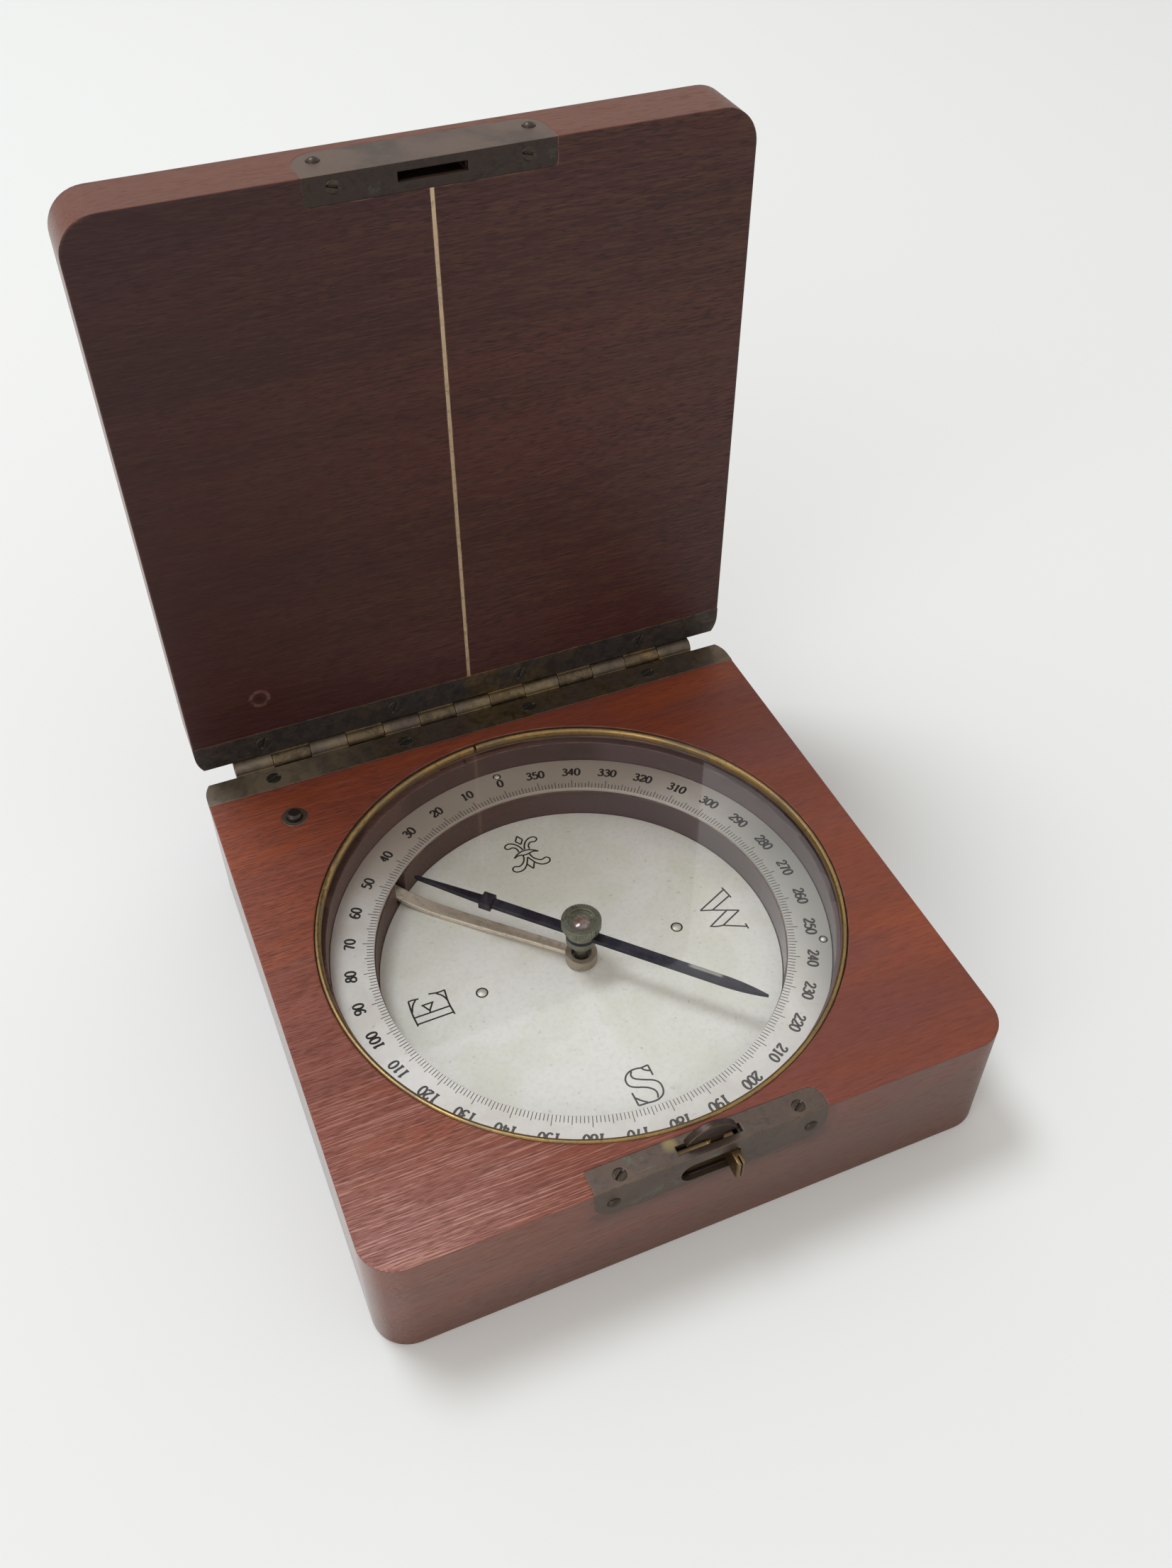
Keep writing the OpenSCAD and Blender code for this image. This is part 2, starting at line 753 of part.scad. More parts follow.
// The raised ring that carries the degrees.
module degree_ring() {
    color(silvered) translate([0, dial_y, ring_low]) difference() {
        cylinder(h = ring_t, r = ring_r);
        translate([0, 0, -cut]) cylinder(h = ring_t + 2 * cut, r = ring_in_r);
        for (a = ring_pin_angles) {
            rotate(a) translate([ring_pin_r, 0, 0]) dial_pin_hole(ring_pin_d, ring_t);
        }
    }
}

// Three pins that hold the ring down, with low domed heads.
module degree_ring_pins() {
    color(silvered) translate([0, dial_y, ring_top]) for (a = ring_pin_angles) {
        rotate(a) translate([ring_pin_r, 0, 0]) {
            dome(ring_pin_d, pin_dome_h);
            translate([0, 0, -ring_t - post_root]) cylinder(h = ring_t + post_root, d = ring_pin_d);
        }
    }
}

// The sunk dial plate.
module dial_plate() {
    color(silvered) translate([0, dial_y, plate_low]) difference() {
        cylinder(h = plate_t, r = plate_r);
        translate([0, 0, -cut]) cylinder(h = plate_t + 2 * cut, r = post_r);
        for (x = [-1, 1]) {
            translate([x * plate_pin_x, 0, 0]) dial_pin_hole(plate_pin_d, plate_t);
        }
    }
}

// Two headed pins that hold the dial plate down.
module dial_plate_pins() {
    color(silvered) translate([0, dial_y, plate_top]) for (x = [-1, 1]) {
        translate([x * plate_pin_x, 0, 0]) {
            dome(plate_pin_d, pin_dome_h);
            translate([0, 0, -plate_t]) cylinder(h = plate_t, d = plate_pin_d);
            translate([0, 0, -plate_t - post_root]) {
                cylinder(h = post_root + plate_t / 2, d = plate_pin_d / 2);
            }
        }
    }
}

// The brass post that carries the steel point.
module pivot_post() {
    color(bright_brass) translate([0, dial_y, plate_low - post_root]) difference() {
        cylinder(h = post_top - plate_low + post_root, r = post_r);
        translate([0, 0, post_top - plate_low]) cylinder(h = post_root + cut, r = point_r);
    }
}

// The steel point under the jewel.
module pivot_point() {
    color(steel) translate([0, dial_y, post_top - post_root]) {
        straight = tip_z - point_cone_h - post_top + post_root;
        cylinder(h = straight, r = point_r);
        translate([0, 0, straight]) cylinder(h = point_cone_h, r1 = point_r, r2 = 0);
    }
}

// Puts children on the needle, with +X towards its north end.
module on_needle() {
    translate([0, dial_y, 0]) rotate(needle_angle) children();
}

// The blued steel needle: a tapered north arm, an eye, and a parallel south arm with a lancet end.
module needle_blade() {
    lancet_r = (pow(lancet_len, 2) + pow(needle_w / 2, 2)) / needle_w;
    color(blued_steel) on_needle() translate([0, 0, needle_low]) difference() {
        linear_extrude(needle_t) {
            polygon([[0, -needle_w / 2], [rider_at - rider_len / 2, -needle_w / 2],
                     [north_len - 0.6, -0.22], [north_len, 0], [north_len - 0.6, 0.22],
                     [rider_at - rider_len / 2, needle_w / 2], [0, needle_w / 2]]);
            translate([lancet_len - south_len, -needle_w / 2]) square([south_len - lancet_len, needle_w]);
            translate([lancet_len - south_len, 0]) intersection() {
                translate([0, lancet_r - needle_w / 2]) circle(lancet_r, $fn = 360);
                translate([0, needle_w / 2 - lancet_r]) circle(lancet_r, $fn = 360);
                translate([-lancet_len - cut, -needle_w]) square([lancet_len + cut, 2 * needle_w]);
            }
            circle(hub_r);
        }
        translate([0, 0, -cut]) cylinder(h = needle_t + 2 * cut, r = stem_r);
    }
}

// The milled brass cap: head, shoulder on the needle, and a stem through the needle's eye.
module needle_cap() {
    color(bright_brass) translate([0, dial_y, 0]) difference() {
        union() {
            translate([0, 0, cap_head_low]) linear_extrude(cap_head_h) difference() {
                circle(cap_r);
                for (i = [0 : cap_grooves - 1]) {
                    rotate(i * 360 / cap_grooves) translate([cap_r + 0.03, 0]) circle(0.13, $fn = 16);
                }
            }
            translate([0, 0, needle_top]) cylinder(h = cap_head_low - needle_top, r = hub_r);
            translate([0, 0, hub_low]) cylinder(h = needle_top - hub_low, r = stem_r);
        }
        translate([0, 0, hub_low - cut]) cylinder(h = jewel_low - hub_low + cut, r = cap_bore_r);
        translate([0, 0, jewel_low]) cylinder(h = cap_top, r = jewel_r);
        translate([0, 0, jewel_top - 0.25]) cylinder(h = cap_top, r = jewel_r + jewel_ring_w);
    }
}

// The washer that closes the hub under the needle.
module needle_hub_washer() {
    color(bright_brass) translate([0, dial_y, hub_low]) difference() {
        cylinder(h = hub_washer_h, r = hub_r);
        translate([0, 0, -cut]) cylinder(h = hub_washer_h + 2 * cut, r = stem_r);
    }
}

// The jewel that rides on the steel point, with a hollow cone underneath and a domed top.
module cap_jewel() {
    dome_h = 0.35;
    side_h = jewel_top - jewel_low - dome_h;
    color("#9a6a62") translate([0, dial_y, jewel_low]) difference() {
        union() {
            cylinder(h = side_h, r = jewel_r);
            translate([0, 0, side_h]) dome(2 * jewel_r, dome_h);
        }
        cylinder(h = jewel_cup_h, r1 = jewel_cup_r, r2 = 0);
    }
}

// The sliding balance on the north arm.
module needle_rider() {
    color(blued_steel) on_needle() translate([rider_at, 0, needle_low - 0.35]) difference() {
        translate([-rider_len / 2, -rider_w / 2, 0]) cube([rider_len, rider_w, rider_h]);
        translate([-rider_len / 2 - cut, -needle_w / 2, 0.35]) {
            cube([rider_len + 2 * cut, needle_w, needle_t]);
        }
    }
}

// The bent strip that lifts the needle: inner end on the collar, boss on the fulcrum pin.
module lifter_lever() {
    color("#a08c72") on_lever() difference() {
        union() {
            intersection() {
                translate([0, lever_w_outer, 0]) rotate([90, 0, 0]) linear_extrude(2 * lever_w_outer) {
                    polygon(concat(
                        [for (i = [0 : lever_steps]) [lever_r(i), lever_z(lever_r(i))]],
                        [for (i = [lever_steps : -1 : 0]) [lever_r(i), lever_z(lever_r(i)) - lever_t]]));
                }
                linear_extrude(base_h) polygon([
                    [0, -lever_w_inner / 2], [lever_dip_at, -lever_w_outer / 2],
                    [lever_end, -lever_w_outer / 2], [lever_end, lever_w_outer / 2],
                    [lever_dip_at, lever_w_outer / 2], [0, lever_w_inner / 2]]);
            }
            fulcrum_place() cylinder(h = lever_w_outer, r = fulcrum_boss_r, center = true);
        }
        cylinder(h = base_h, r = collar_r);
        fulcrum_place() cylinder(h = 2 * channel_w, r = fulcrum_pin_r + pin_clear, center = true);
    }
}

function lever_r(i) = collar_r * 0.8 + (lever_end - collar_r * 0.8) * i / lever_steps;

// The collar round the post that pushes the needle's hub up.
module lifter_collar() {
    color("#a08c72") translate([0, dial_y, collar_low]) difference() {
        cylinder(h = collar_h, r = collar_r);
        translate([0, 0, -cut]) cylinder(h = collar_h + 2 * cut, r = collar_bore_r);
    }
}

module lifter_fulcrum_pin() {
    color(steel) on_lever() fulcrum_place() {
        cylinder(h = fulcrum_pin_len, r = fulcrum_pin_r, center = true);
    }
}

// The plunger that the closing lid presses, rounded at both ends.
module plunger_pin() {
    top = base_h + plunger_out;
    tip_r = plunger_r * 0.45;
    color(bright_brass) on_lever() translate([plunger_at, 0, 0]) rotate_extrude() {
        translate([0, plunger_low + plunger_r]) square([plunger_r, top - plunger_low - plunger_r - tip_r]);
        translate([0, top - tip_r]) square([plunger_r - tip_r, tip_r]);
        translate([plunger_r - tip_r, top - tip_r]) circle(tip_r);
        intersection() {
            translate([0, plunger_low + plunger_r]) circle(plunger_r);
            translate([0, plunger_low]) square(plunger_r);
        }
    }
}

module plunger_bush() {
    color(old_brass) on_lever() translate([plunger_at, 0, base_h - bush_len]) difference() {
        cylinder(h = bush_len + bush_proud, r = bush_r);
        translate([0, 0, -cut]) cylinder(h = bush_len + 2 * cut, r = plunger_r + plunger_clear);
    }
}

// Sub-parts of the lid, drawn closed and turned open.

module lid_panel() {
    color(dark_mahogany) on_open_lid() difference() {
        translate([0, 0, lid_z]) wood_block(lid_t, edge_r, edge_r);
        on_lid_face() {
            translate([0, 0, base_h]) hinge_bevel_cut();
            leaf_recess();
            leaf_screws() screw_hole(hinge_screw_d);
            catch_recess(lid_catch_face_h, lid_catch_inner_r);
            inner_screws(lid_inner_screw_x) screw_hole(catch_screw_d);
            face_screws(lid_face_screw_x, lid_face_screw_drop) pin_hole();
            sight_groove();
        }
        head_pocket();
    }
}

// The groove that the sight line fills.
module sight_groove() {
    length = leaf_front_y - front_y - catch_d;
    translate([-sight_w / 2, front_y + catch_d, base_h - sight_t]) cube([sight_w, length, sight_t]);
}

// The room in the lid for the latch head.
module head_pocket() {
    left = head_x - head_w / 2 - latch_travel - 0.7;
    right = head_x + head_w / 2 + 0.8;
    translate([left, bolt_y - bolt_t / 2 - 0.35, lid_z + catch_t - 0.01]) {
        cube([right - left, bolt_t + 0.7, pocket_roof - lid_z - catch_t]);
    }
}

module lid_hinge_leaf() {
    color(old_brass) on_open_lid() on_lid_face() hinge_leaf(1);
}

module lid_hinge_screws() {
    color(old_brass) on_open_lid() on_lid_face() leaf_screws() wood_screw(hinge_screw_d, 110);
}

// The brass line inlaid in the lid for sighting.
module lid_sight_line() {
    color(bright_brass) on_open_lid() on_lid_face() sight_groove();
}

module lid_catch_plate() {
    color(old_brass) on_open_lid() on_lid_face() difference() {
        catch_plate(lid_catch_face_h, lid_catch_inner_r);
        inner_screws(lid_inner_screw_x) screw_hole(catch_screw_d);
        face_screws(lid_face_screw_x, lid_face_screw_drop) pin_hole();
    }
}

module lid_catch_screws() {
    color(old_brass) on_open_lid() on_lid_face() {
        inner_screws(lid_inner_screw_x) wood_screw(catch_screw_d, 15);
        face_screws(lid_face_screw_x, lid_face_screw_drop) round_pin(catch_screw_d);
    }
}

base_case();
base_hinge_leaf();
base_hinge_screws();
hinge_pin();
base_catch_plate();
base_catch_screws();
latch_bolt();
bezel_ring();
glass_cover();
degree_ring();
degree_ring_pins();
dial_plate();
dial_plate_pins();
pivot_post();
pivot_point();
needle_blade();
needle_cap();
needle_hub_washer();
cap_jewel();
needle_rider();
lifter_lever();
lifter_collar();
lifter_fulcrum_pin();
plunger_pin();
plunger_bush();
lid_panel();
lid_hinge_leaf();
lid_hinge_screws();
lid_sight_line();
lid_catch_plate();
lid_catch_screws();
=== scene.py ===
import math

import bmesh
import bpy
from mathutils import Matrix, Vector


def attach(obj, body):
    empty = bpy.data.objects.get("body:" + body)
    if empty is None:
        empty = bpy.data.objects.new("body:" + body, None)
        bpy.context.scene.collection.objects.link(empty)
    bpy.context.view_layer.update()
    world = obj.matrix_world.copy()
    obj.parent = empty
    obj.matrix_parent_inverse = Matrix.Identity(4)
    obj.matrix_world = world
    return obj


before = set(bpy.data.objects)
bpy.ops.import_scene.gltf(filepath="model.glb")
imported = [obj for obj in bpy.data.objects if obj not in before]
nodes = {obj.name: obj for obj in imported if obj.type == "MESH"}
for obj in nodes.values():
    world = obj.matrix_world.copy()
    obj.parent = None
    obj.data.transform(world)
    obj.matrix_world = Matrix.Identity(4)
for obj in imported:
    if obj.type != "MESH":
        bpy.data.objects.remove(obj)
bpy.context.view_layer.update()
mm = 0.001

dial = {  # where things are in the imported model, in millimetres
    "centre": (0, -2.8),
    "ringTop": 16.0,
    "plateTop": 9.5,
    "hinge": (0, 50.2, 23.15),
}


def shade(text):  # a hex colour to linear light
    parts = [int(text[i:i + 2], 16) / 255 for i in (1, 3, 5)]
    return tuple(p / 12.92 if p <= 0.04045 else ((p + 0.055) / 1.055) ** 2.4 for p in parts) + (1.0,)


class Wire:  # a socket that takes part in sums, and makes the nodes that it needs
    def __init__(self, tree, socket=None):
        self.tree = tree
        self.socket = socket

    def node(self, kind, settings=None, values=None, out=0):
        made = self.tree.nodes.new(kind)
        for name, value in (settings or {}).items():
            setattr(made, name, value)
        for name, value in (values or {}).items():
            if isinstance(value, Wire):
                self.tree.links.new(value.socket, made.inputs[name])
            else:
                made.inputs[name].default_value = value
        return Wire(self.tree, made.outputs[out]) if len(made.outputs) else made

    def maths(self, operation, *terms):
        return self.node("ShaderNodeMath", {"operation": operation}, dict(enumerate(terms)))

    def __add__(self, other):
        return self.maths("ADD", self, other)

    __radd__ = __add__

    def __sub__(self, other):
        return self.maths("SUBTRACT", self, other)

    def __rsub__(self, other):
        return self.maths("SUBTRACT", other, self)

    def __mul__(self, other):
        return self.maths("MULTIPLY", self, other)

    __rmul__ = __mul__

    def __abs__(self):
        return self.maths("ABSOLUTE", self)

    def clip(self):
        return self.maths("MINIMUM", self.maths("MAXIMUM", self, 0.0), 1.0)

    def band(self, low, high):  # 0 below low, 1 above high, soft between
        return self.node("ShaderNodeMapRange", {"interpolation_type": "SMOOTHSTEP"},
                         {"Value": self, "From Min": low, "From Max": high})

    def rise(self, low, high):  # the same on a length, with limits in millimetres
        return self.band(low * mm, high * mm)

    def fall(self, low, high):
        return 1.0 - self.rise(low, high)

    def stretch(self, scale, move=(0, 0, 0), turn=(0, 0, 0)):
        return self.node("ShaderNodeMapping", {}, {"Vector": self, "Location": move, "Rotation": turn, "Scale": scale})

    def noise(self, scale=1.0, detail=2.0, roughness=0.5, distortion=0.0):
        return self.node("ShaderNodeTexNoise", {}, {"Vector": self, "Scale": scale, "Detail": detail,
                                                    "Roughness": roughness, "Distortion": distortion})

    def mix(self, low, high):  # this wire is the factor between two colours, wires or hex
        low, high = (shade(colour) if isinstance(colour, str) else colour for colour in (low, high))
        return self.node("ShaderNodeMix", {"data_type": "RGBA"}, {0: self, 6: low, 7: high}, 2)

    def parts(self):
        split = self.node("ShaderNodeSeparateXYZ", {}, {0: self})
        return [Wire(self.tree, socket) for socket in split.socket.node.outputs]

    def distance(self, spot):  # from a spot in millimetres
        return self.node("ShaderNodeVectorMath", {"operation": "DISTANCE"}, {0: self, 1: Vector(spot) * mm}, 1)


def newMaterial(name):
    made = bpy.data.materials.new(name)
    made.use_nodes = True
    made.node_tree.nodes.clear()
    wire = Wire(made.node_tree)
    wire.place = wire.node("ShaderNodeTexCoord", out=3)
    wire.facing = wire.node("ShaderNodeTexCoord", out=1)
    wire.material = made
    return wire


def finishMaterial(wire, **values):
    shader = wire.node("ShaderNodeBsdfPrincipled", {}, {k.replace("_", " "): v for k, v in values.items()})
    wire.node("ShaderNodeOutputMaterial", {}, {"Surface": shader})
    return wire.material


def roundedNormal(wire, radius):
    return wire.node("ShaderNodeBevel", {"samples": 6}, {"Radius": radius * mm})


def bumps(wire, height, strength, deep, rounded):
    return wire.node("ShaderNodeBump", {}, {"Height": height, "Strength": strength, "Distance": deep * mm,
                                            "Normal": rounded})


def edgeMask(wire, rounded, reach=0.25):  # 1 on sharp edges, 0 on flats
    flat = wire.node("ShaderNodeNewGeometry", out=1)
    same = wire.node("ShaderNodeVectorMath", {"operation": "DOT_PRODUCT"}, {0: flat, 1: rounded}, 1)
    return (1.0 - same).band(0.02, reach)


def levelDistance(wire, first, second, spot):  # from an axis, in the plane of two coordinates
    flat = wire.node("ShaderNodeCombineXYZ", {}, {0: first, 1: second})
    return flat.distance((*spot, 0))


def dress(material, names):
    for name in names:
        mesh = nodes[name].data
        mesh.materials.clear()
        mesh.materials.append(material)
        for face in mesh.polygons:
            face.material_index = 0


print("stage: wood")

grain = {  # how far each pattern is pressed together along the board, across it and through it
    "bands": (6, 110, 110),
    "patches": (14, 60, 60),
    "fibres": (330, 3400, 3400),
    "cells": (480, 5200, 5200),
    "crowding": (25, 200, 200),
    "sheenLines": (60, 5000, 5000),
    "sidePatches": (12, 60, 60),
    "lidPatches": (10, 50, 50),
    "olive": (160, 2400, 2400),
    "drift": 14.0,
    "driftReach": 2.0,
}

wood = {
    "light": "#894225",
    "middle": "#743723",
    "dark": "#5d281b",
    "plum": "#6d3a33",
    "pore": "#43201a",
    # worn edge colour, which also paints the highlight along the edges
    "edge": "#a67c68",
    "edgeWearAndHighlightShare": 0.6,
    "poreShare": 0.55,
    "gloss": 0.36,
    "specular": 0.32,
    "round": 0.4,
}


def woodGrain(wire):
    drift = wire.node("ShaderNodeTexNoise", {}, {"Vector": wire.place, "Scale": grain["drift"], "Detail": 1.0}, 1)
    bent = wire.node("ShaderNodeVectorMath", {"operation": "MULTIPLY_ADD"},
                     {0: drift, 1: (0.0, grain["driftReach"] * mm, grain["driftReach"] * mm), 2: wire.place})
    bands = bent.stretch(grain["bands"]).noise(1.0, 4.0, 0.6)
    patches = bent.stretch(grain["patches"]).noise(1.0, 3.0, 0.6)
    fibres = bent.stretch(grain["fibres"]).noise(1.0, 3.0, 0.6)
    cells = bent.stretch(grain["cells"]).noise(1.0, 1.0)
    crowding = bent.stretch(grain["crowding"]).noise(1.0, 2.0)
    pores = (cells + crowding * 0.25).band(0.62, 0.82)
    colour = bands.band(0.35, 0.65).mix(wood["middle"], wood["light"])
    colour = (patches.band(0.4, 0.65) * 0.8).mix(colour, wood["plum"])
    colour = (fibres.band(0.35, 0.75) * 0.6).mix(colour, wood["dark"])
    return colour, pores, fibres, bands, bent


def finishWood(wire, colour, pores, fibres, poreDepth, coat, dent=None):
    rounded = roundedNormal(wire, wood["round"])
    # edges paler: wear, and a painted highlight along them
    worn = edgeMask(wire, rounded) * wire.place.noise(260, 3).band(0.4, 0.62)
    colour = (worn * wood["edgeWearAndHighlightShare"]).mix(colour, wood["edge"])
    colour = (pores * poreDepth * wood["poreShare"]).mix(colour, wood["pore"])
    rough = wood["gloss"] + fibres * 0.12 + pores * 0.15
    height = (1.0 - pores * poreDepth) * 0.7 + fibres * 0.8
    if dent:
        height = height - dent
    leftSide = (0.0 - wire.facing.parts()[0]).band(0.6, 0.95)  # the side that kept its polish
    return finishMaterial(wire, Base_Color=colour, Roughness=rough, Normal=bumps(wire, height, 0.7, 0.04, rounded),
                          Specular_IOR_Level=wood["specular"], Coat_Weight=leftSide * coat)


caseLook = {  # lengths in millimetres
    "warm": "#92452b",  # redder patches on the left of the top
    "warmSide": (-44, 46),
    "worn": "#a3736c",  # bleached front left corner, with a painted sheen over it
    "wearAndSheenCentre": (-45, -61),
    "wearAndSheenReach": (8, 36),
    "sheenStreak": "#bd8d80",  # painted highlights on grain lines that run in from that corner
    "sheenStreakReach": (8, 56),
    "sides": ("#6d473b", "#5d4841"),
    "well": ("#74574e", "#685654"),  # the bored wall over the ring and, with painted shade, under it
    "wellUnderShaded": ("#5c423b", "#4d3c39"),
    "wellStep": (15.6, 16.2),
    "wellCool": "#565056",  # where the wall mirrors the room
    "wellCoolFrom": (-8, 26),
    "wellRadius": (43.4, 43.6),
    "wellRim": (22.6, 23.0),
    "foot": "#4b332b",
    "footHeight": (0, 11),
    "grime": "#443634",  # round the catch plate
    "grimeMiddle": 0.35,
    "grimeReach": (17, 21),
    "grimeFrom": (13.5, 16.5),
    "pocketShade": "#1d1412",  # painted shade in the hollow behind the catch plate's slots
    "pocketFront": (-50.2, -50.0),
    "pocketBack": (-46.8, -46.6),
    "pocketTop": (22.3, 22.5),
    "pocketReach": (18, 19),
    "coat": 0.6,
}


def caseWood(look):
    wire = newMaterial("mahoganyCase")
    colour, pores, fibres, bands, bent = woodGrain(wire)
    across, along, up = wire.facing.parts()
    px, py, pz = wire.place.parts()
    side = (1.0 - up).band(0.35, 0.6)
    front = (0.0 - along).band(0.4, 0.7)
    left = px.fall(*look["warmSide"])
    blotch = wire.place.stretch(grain["sidePatches"]).noise(1.0, 4.0, 0.6).band(0.35, 0.65)
    colour = (blotch * left * 0.35).mix(colour, look["warm"])
    # painted sheen on the front left corner, over a bleached finish
    fromCorner = levelDistance(wire, px, py, look["wearAndSheenCentre"])
    colour = (fromCorner.fall(*look["wearAndSheenReach"]) * 0.45).mix(colour, look["worn"])
    corner = fromCorner.fall(*look["sheenStreakReach"])
    # painted highlights along grain lines, near the corner and faintly over the left
    sheenLineNoise = bent.stretch(grain["sheenLines"], move=(3, 1, 0)).noise(1.0, 2.0, 0.6)
    colour = (sheenLineNoise.band(0.54, 0.62) * (0.12 * left + corner * 0.6).clip()).mix(colour, look["sheenStreak"])
    colour = (side * 0.8).mix(colour, blotch.mix(*look["sides"]))
    away = levelDistance(wire, px, py, dial["centre"])
    # painted shade on the wall under the ring
    tones = pz.rise(*look["wellStep"]).mix(bands.mix(*look["wellUnderShaded"]), bands.mix(*look["well"]))
    tones = (px.rise(*look["wellCoolFrom"]) * 0.7).mix(tones, look["wellCool"])
    colour = (away.fall(*look["wellRadius"]) * pz.fall(*look["wellRim"]) * 0.85).mix(colour, tones)
    colour = (side * pz.fall(*look["footHeight"]) * 0.55).mix(colour, look["foot"])
    grime = front * pz.rise(*look["grimeFrom"]) * abs(px - look["grimeMiddle"] * mm).fall(*look["grimeReach"])
    colour = (grime * (0.45 + blotch * 0.3)).mix(colour, look["grime"])
    # painted shade in the hollow behind the plate's slots
    pocketShade = py.rise(*look["pocketFront"]) * py.fall(*look["pocketBack"])
    pocketShade = pocketShade * pz.fall(*look["pocketTop"]) * abs(px).fall(*look["pocketReach"])
    colour = pocketShade.mix(colour, look["pocketShade"])
    poreDepth = (0.25 + left * 0.75) * (1.0 - side * 0.6) * (1.0 - corner * 0.2)
    return finishWood(wire, colour, pores, fibres, poreDepth, look["coat"])


lidLook = {  # lengths in millimetres
    "inner": ("#361714", "#4a231d"),
    "innerPlum": "#401e27",
    "olive": "#4f3423",
    "fibre": "#260e0d",
    "pore": "#170807",
    # painted shade: the inner face grows darker towards its left end
    "shadedLeft": "#220c0b",
    "shadedLeftFrom": (-48, 18),
    "edges": ("#5f3019", "#54301f"),
    "mark": "#7a5a52",  # the ring that the plunger has worn into the inner face
    "markDot": "#180b09",
    "markPlace": (-37.7, 38.0),
    "markInside": (1.0, 1.5),
    "markOutside": (1.6, 2.1),
    "markDotReach": (0.3, 0.6),
    "pocketShade": "#170e0c",  # painted shade in the hollow behind the lid plate's slot
    "pocketLow": (116, 116.5),
    "pocketTop": (123.9, 124.1),
    "pocketFront": (50.5, 50.7),
    "pocketBack": (58, 58.2),
    "pocketReach": (9, 10),
    "coat": 0.3,
}


def lidWood(look):
    wire = newMaterial("mahoganyLid")
    colour, pores, fibres, bands, bent = woodGrain(wire)
    along = wire.facing.parts()[1]
    px, py, pz = wire.place.parts()
    inner = (0.0 - along).band(0.35, 0.65)
    edge = (1.0 - abs(along)).band(0.35, 0.65)
    bands = bands.band(0.3, 0.7)
    hue = wire.place.stretch(grain["lidPatches"]).noise(1.0, 3.0, 0.6).band(0.4, 0.65)
    olive = bent.stretch(grain["olive"], move=(5, 0, 2)).noise(1.0, 3.0, 0.6).band(0.42, 0.62)
    innerColour = (hue * 0.5).mix(bands.mix(*look["inner"]), look["innerPlum"])
    innerColour = (olive * 0.5).mix(innerColour, look["olive"])
    innerColour = (fibres.band(0.35, 0.75) * 0.5).mix(innerColour, look["fibre"])
    innerColour = (pores * 0.8).mix(innerColour, look["pore"])
    # painted shade towards the left end of the inner face
    innerColour = (px.fall(*look["shadedLeftFrom"]) * 0.5).mix(innerColour, look["shadedLeft"])
    colour = inner.mix(colour, innerColour)
    colour = (edge * 0.8).mix(colour, bands.mix(*look["edges"]))
    away = levelDistance(wire, px, pz, look["markPlace"])
    mark = away.rise(*look["markInside"]) * away.fall(*look["markOutside"]) * inner
    colour = (mark * wire.place.noise(900, 2).band(0.3, 0.55) * 0.38).mix(colour, look["mark"])
    colour = (away.fall(*look["markDotReach"]) * inner * 0.6).mix(colour, look["markDot"])
    # painted shade in the hollow behind the lid plate's slot
    pocketShade = pz.rise(*look["pocketLow"]) * pz.fall(*look["pocketTop"]) * abs(px).fall(*look["pocketReach"])
    pocketShade = pocketShade * py.rise(*look["pocketFront"]) * py.fall(*look["pocketBack"])
    colour = pocketShade.mix(colour, look["pocketShade"])
    poreDepth = (1.0 - edge * 0.6) * (1.0 - inner * 0.6)
    return finishWood(wire, colour, pores, fibres, poreDepth, look["coat"], mark * 0.5)


dress(caseWood(caseLook), ["base_case"])
dress(lidWood(lidLook), ["lid_panel"])

print("stage: brass and steel")


def brightKnuckles(wire, tarnish):  # the lid's knuckles are rubbed brighter than the leaves
    flat = wire.node("ShaderNodeVectorMath", {"operation": "MULTIPLY"}, {0: wire.place, 1: (0, 1, 1)})
    return (tarnish - flat.distance(dial["hinge"]).fall(1.7, 2.1) * 0.28).clip()


def lowerPart(wire, tarnish):  # the latch's lug and bolt are rubbed bright, its head is dark
    return (tarnish - wire.place.parts()[2].fall(22.6, 23.4) * 0.4).clip()


def leftEnd(wire):  # the base leaf's left end has lost its dark patina
    return wire.place.parts()[0].fall(-36, -14) * wire.facing.parts()[2].band(0.5, 0.8)


def slotEnd(wire):  # rubbed yellow where the bolt slides
    px, py, pz = wire.place.parts()
    return levelDistance(wire, px, py, (-5.3, -47.6)).fall(0.4, 1.6) * pz.rise(22.5, 23)


def topEdge(wire):
    return wire.facing.parts()[2].band(0.5, 0.8)


plainMetal = {
    "share": 0.5,  # how much of it is tarnished
    "rough": (0.3, 0.5),  # clean and tarnished
    "metal": (1.0, 0.75),
    "round": 0.25,
    "scale": 1.0,  # of its patches
    "rubbed": 0.6,  # how bright its edges are
    "green": 0.0,
    "dirt": 0.0,
    "change": None,  # a function that changes the tarnish
    "paler": None,  # a mask and the colour of a duller, paler zone
}

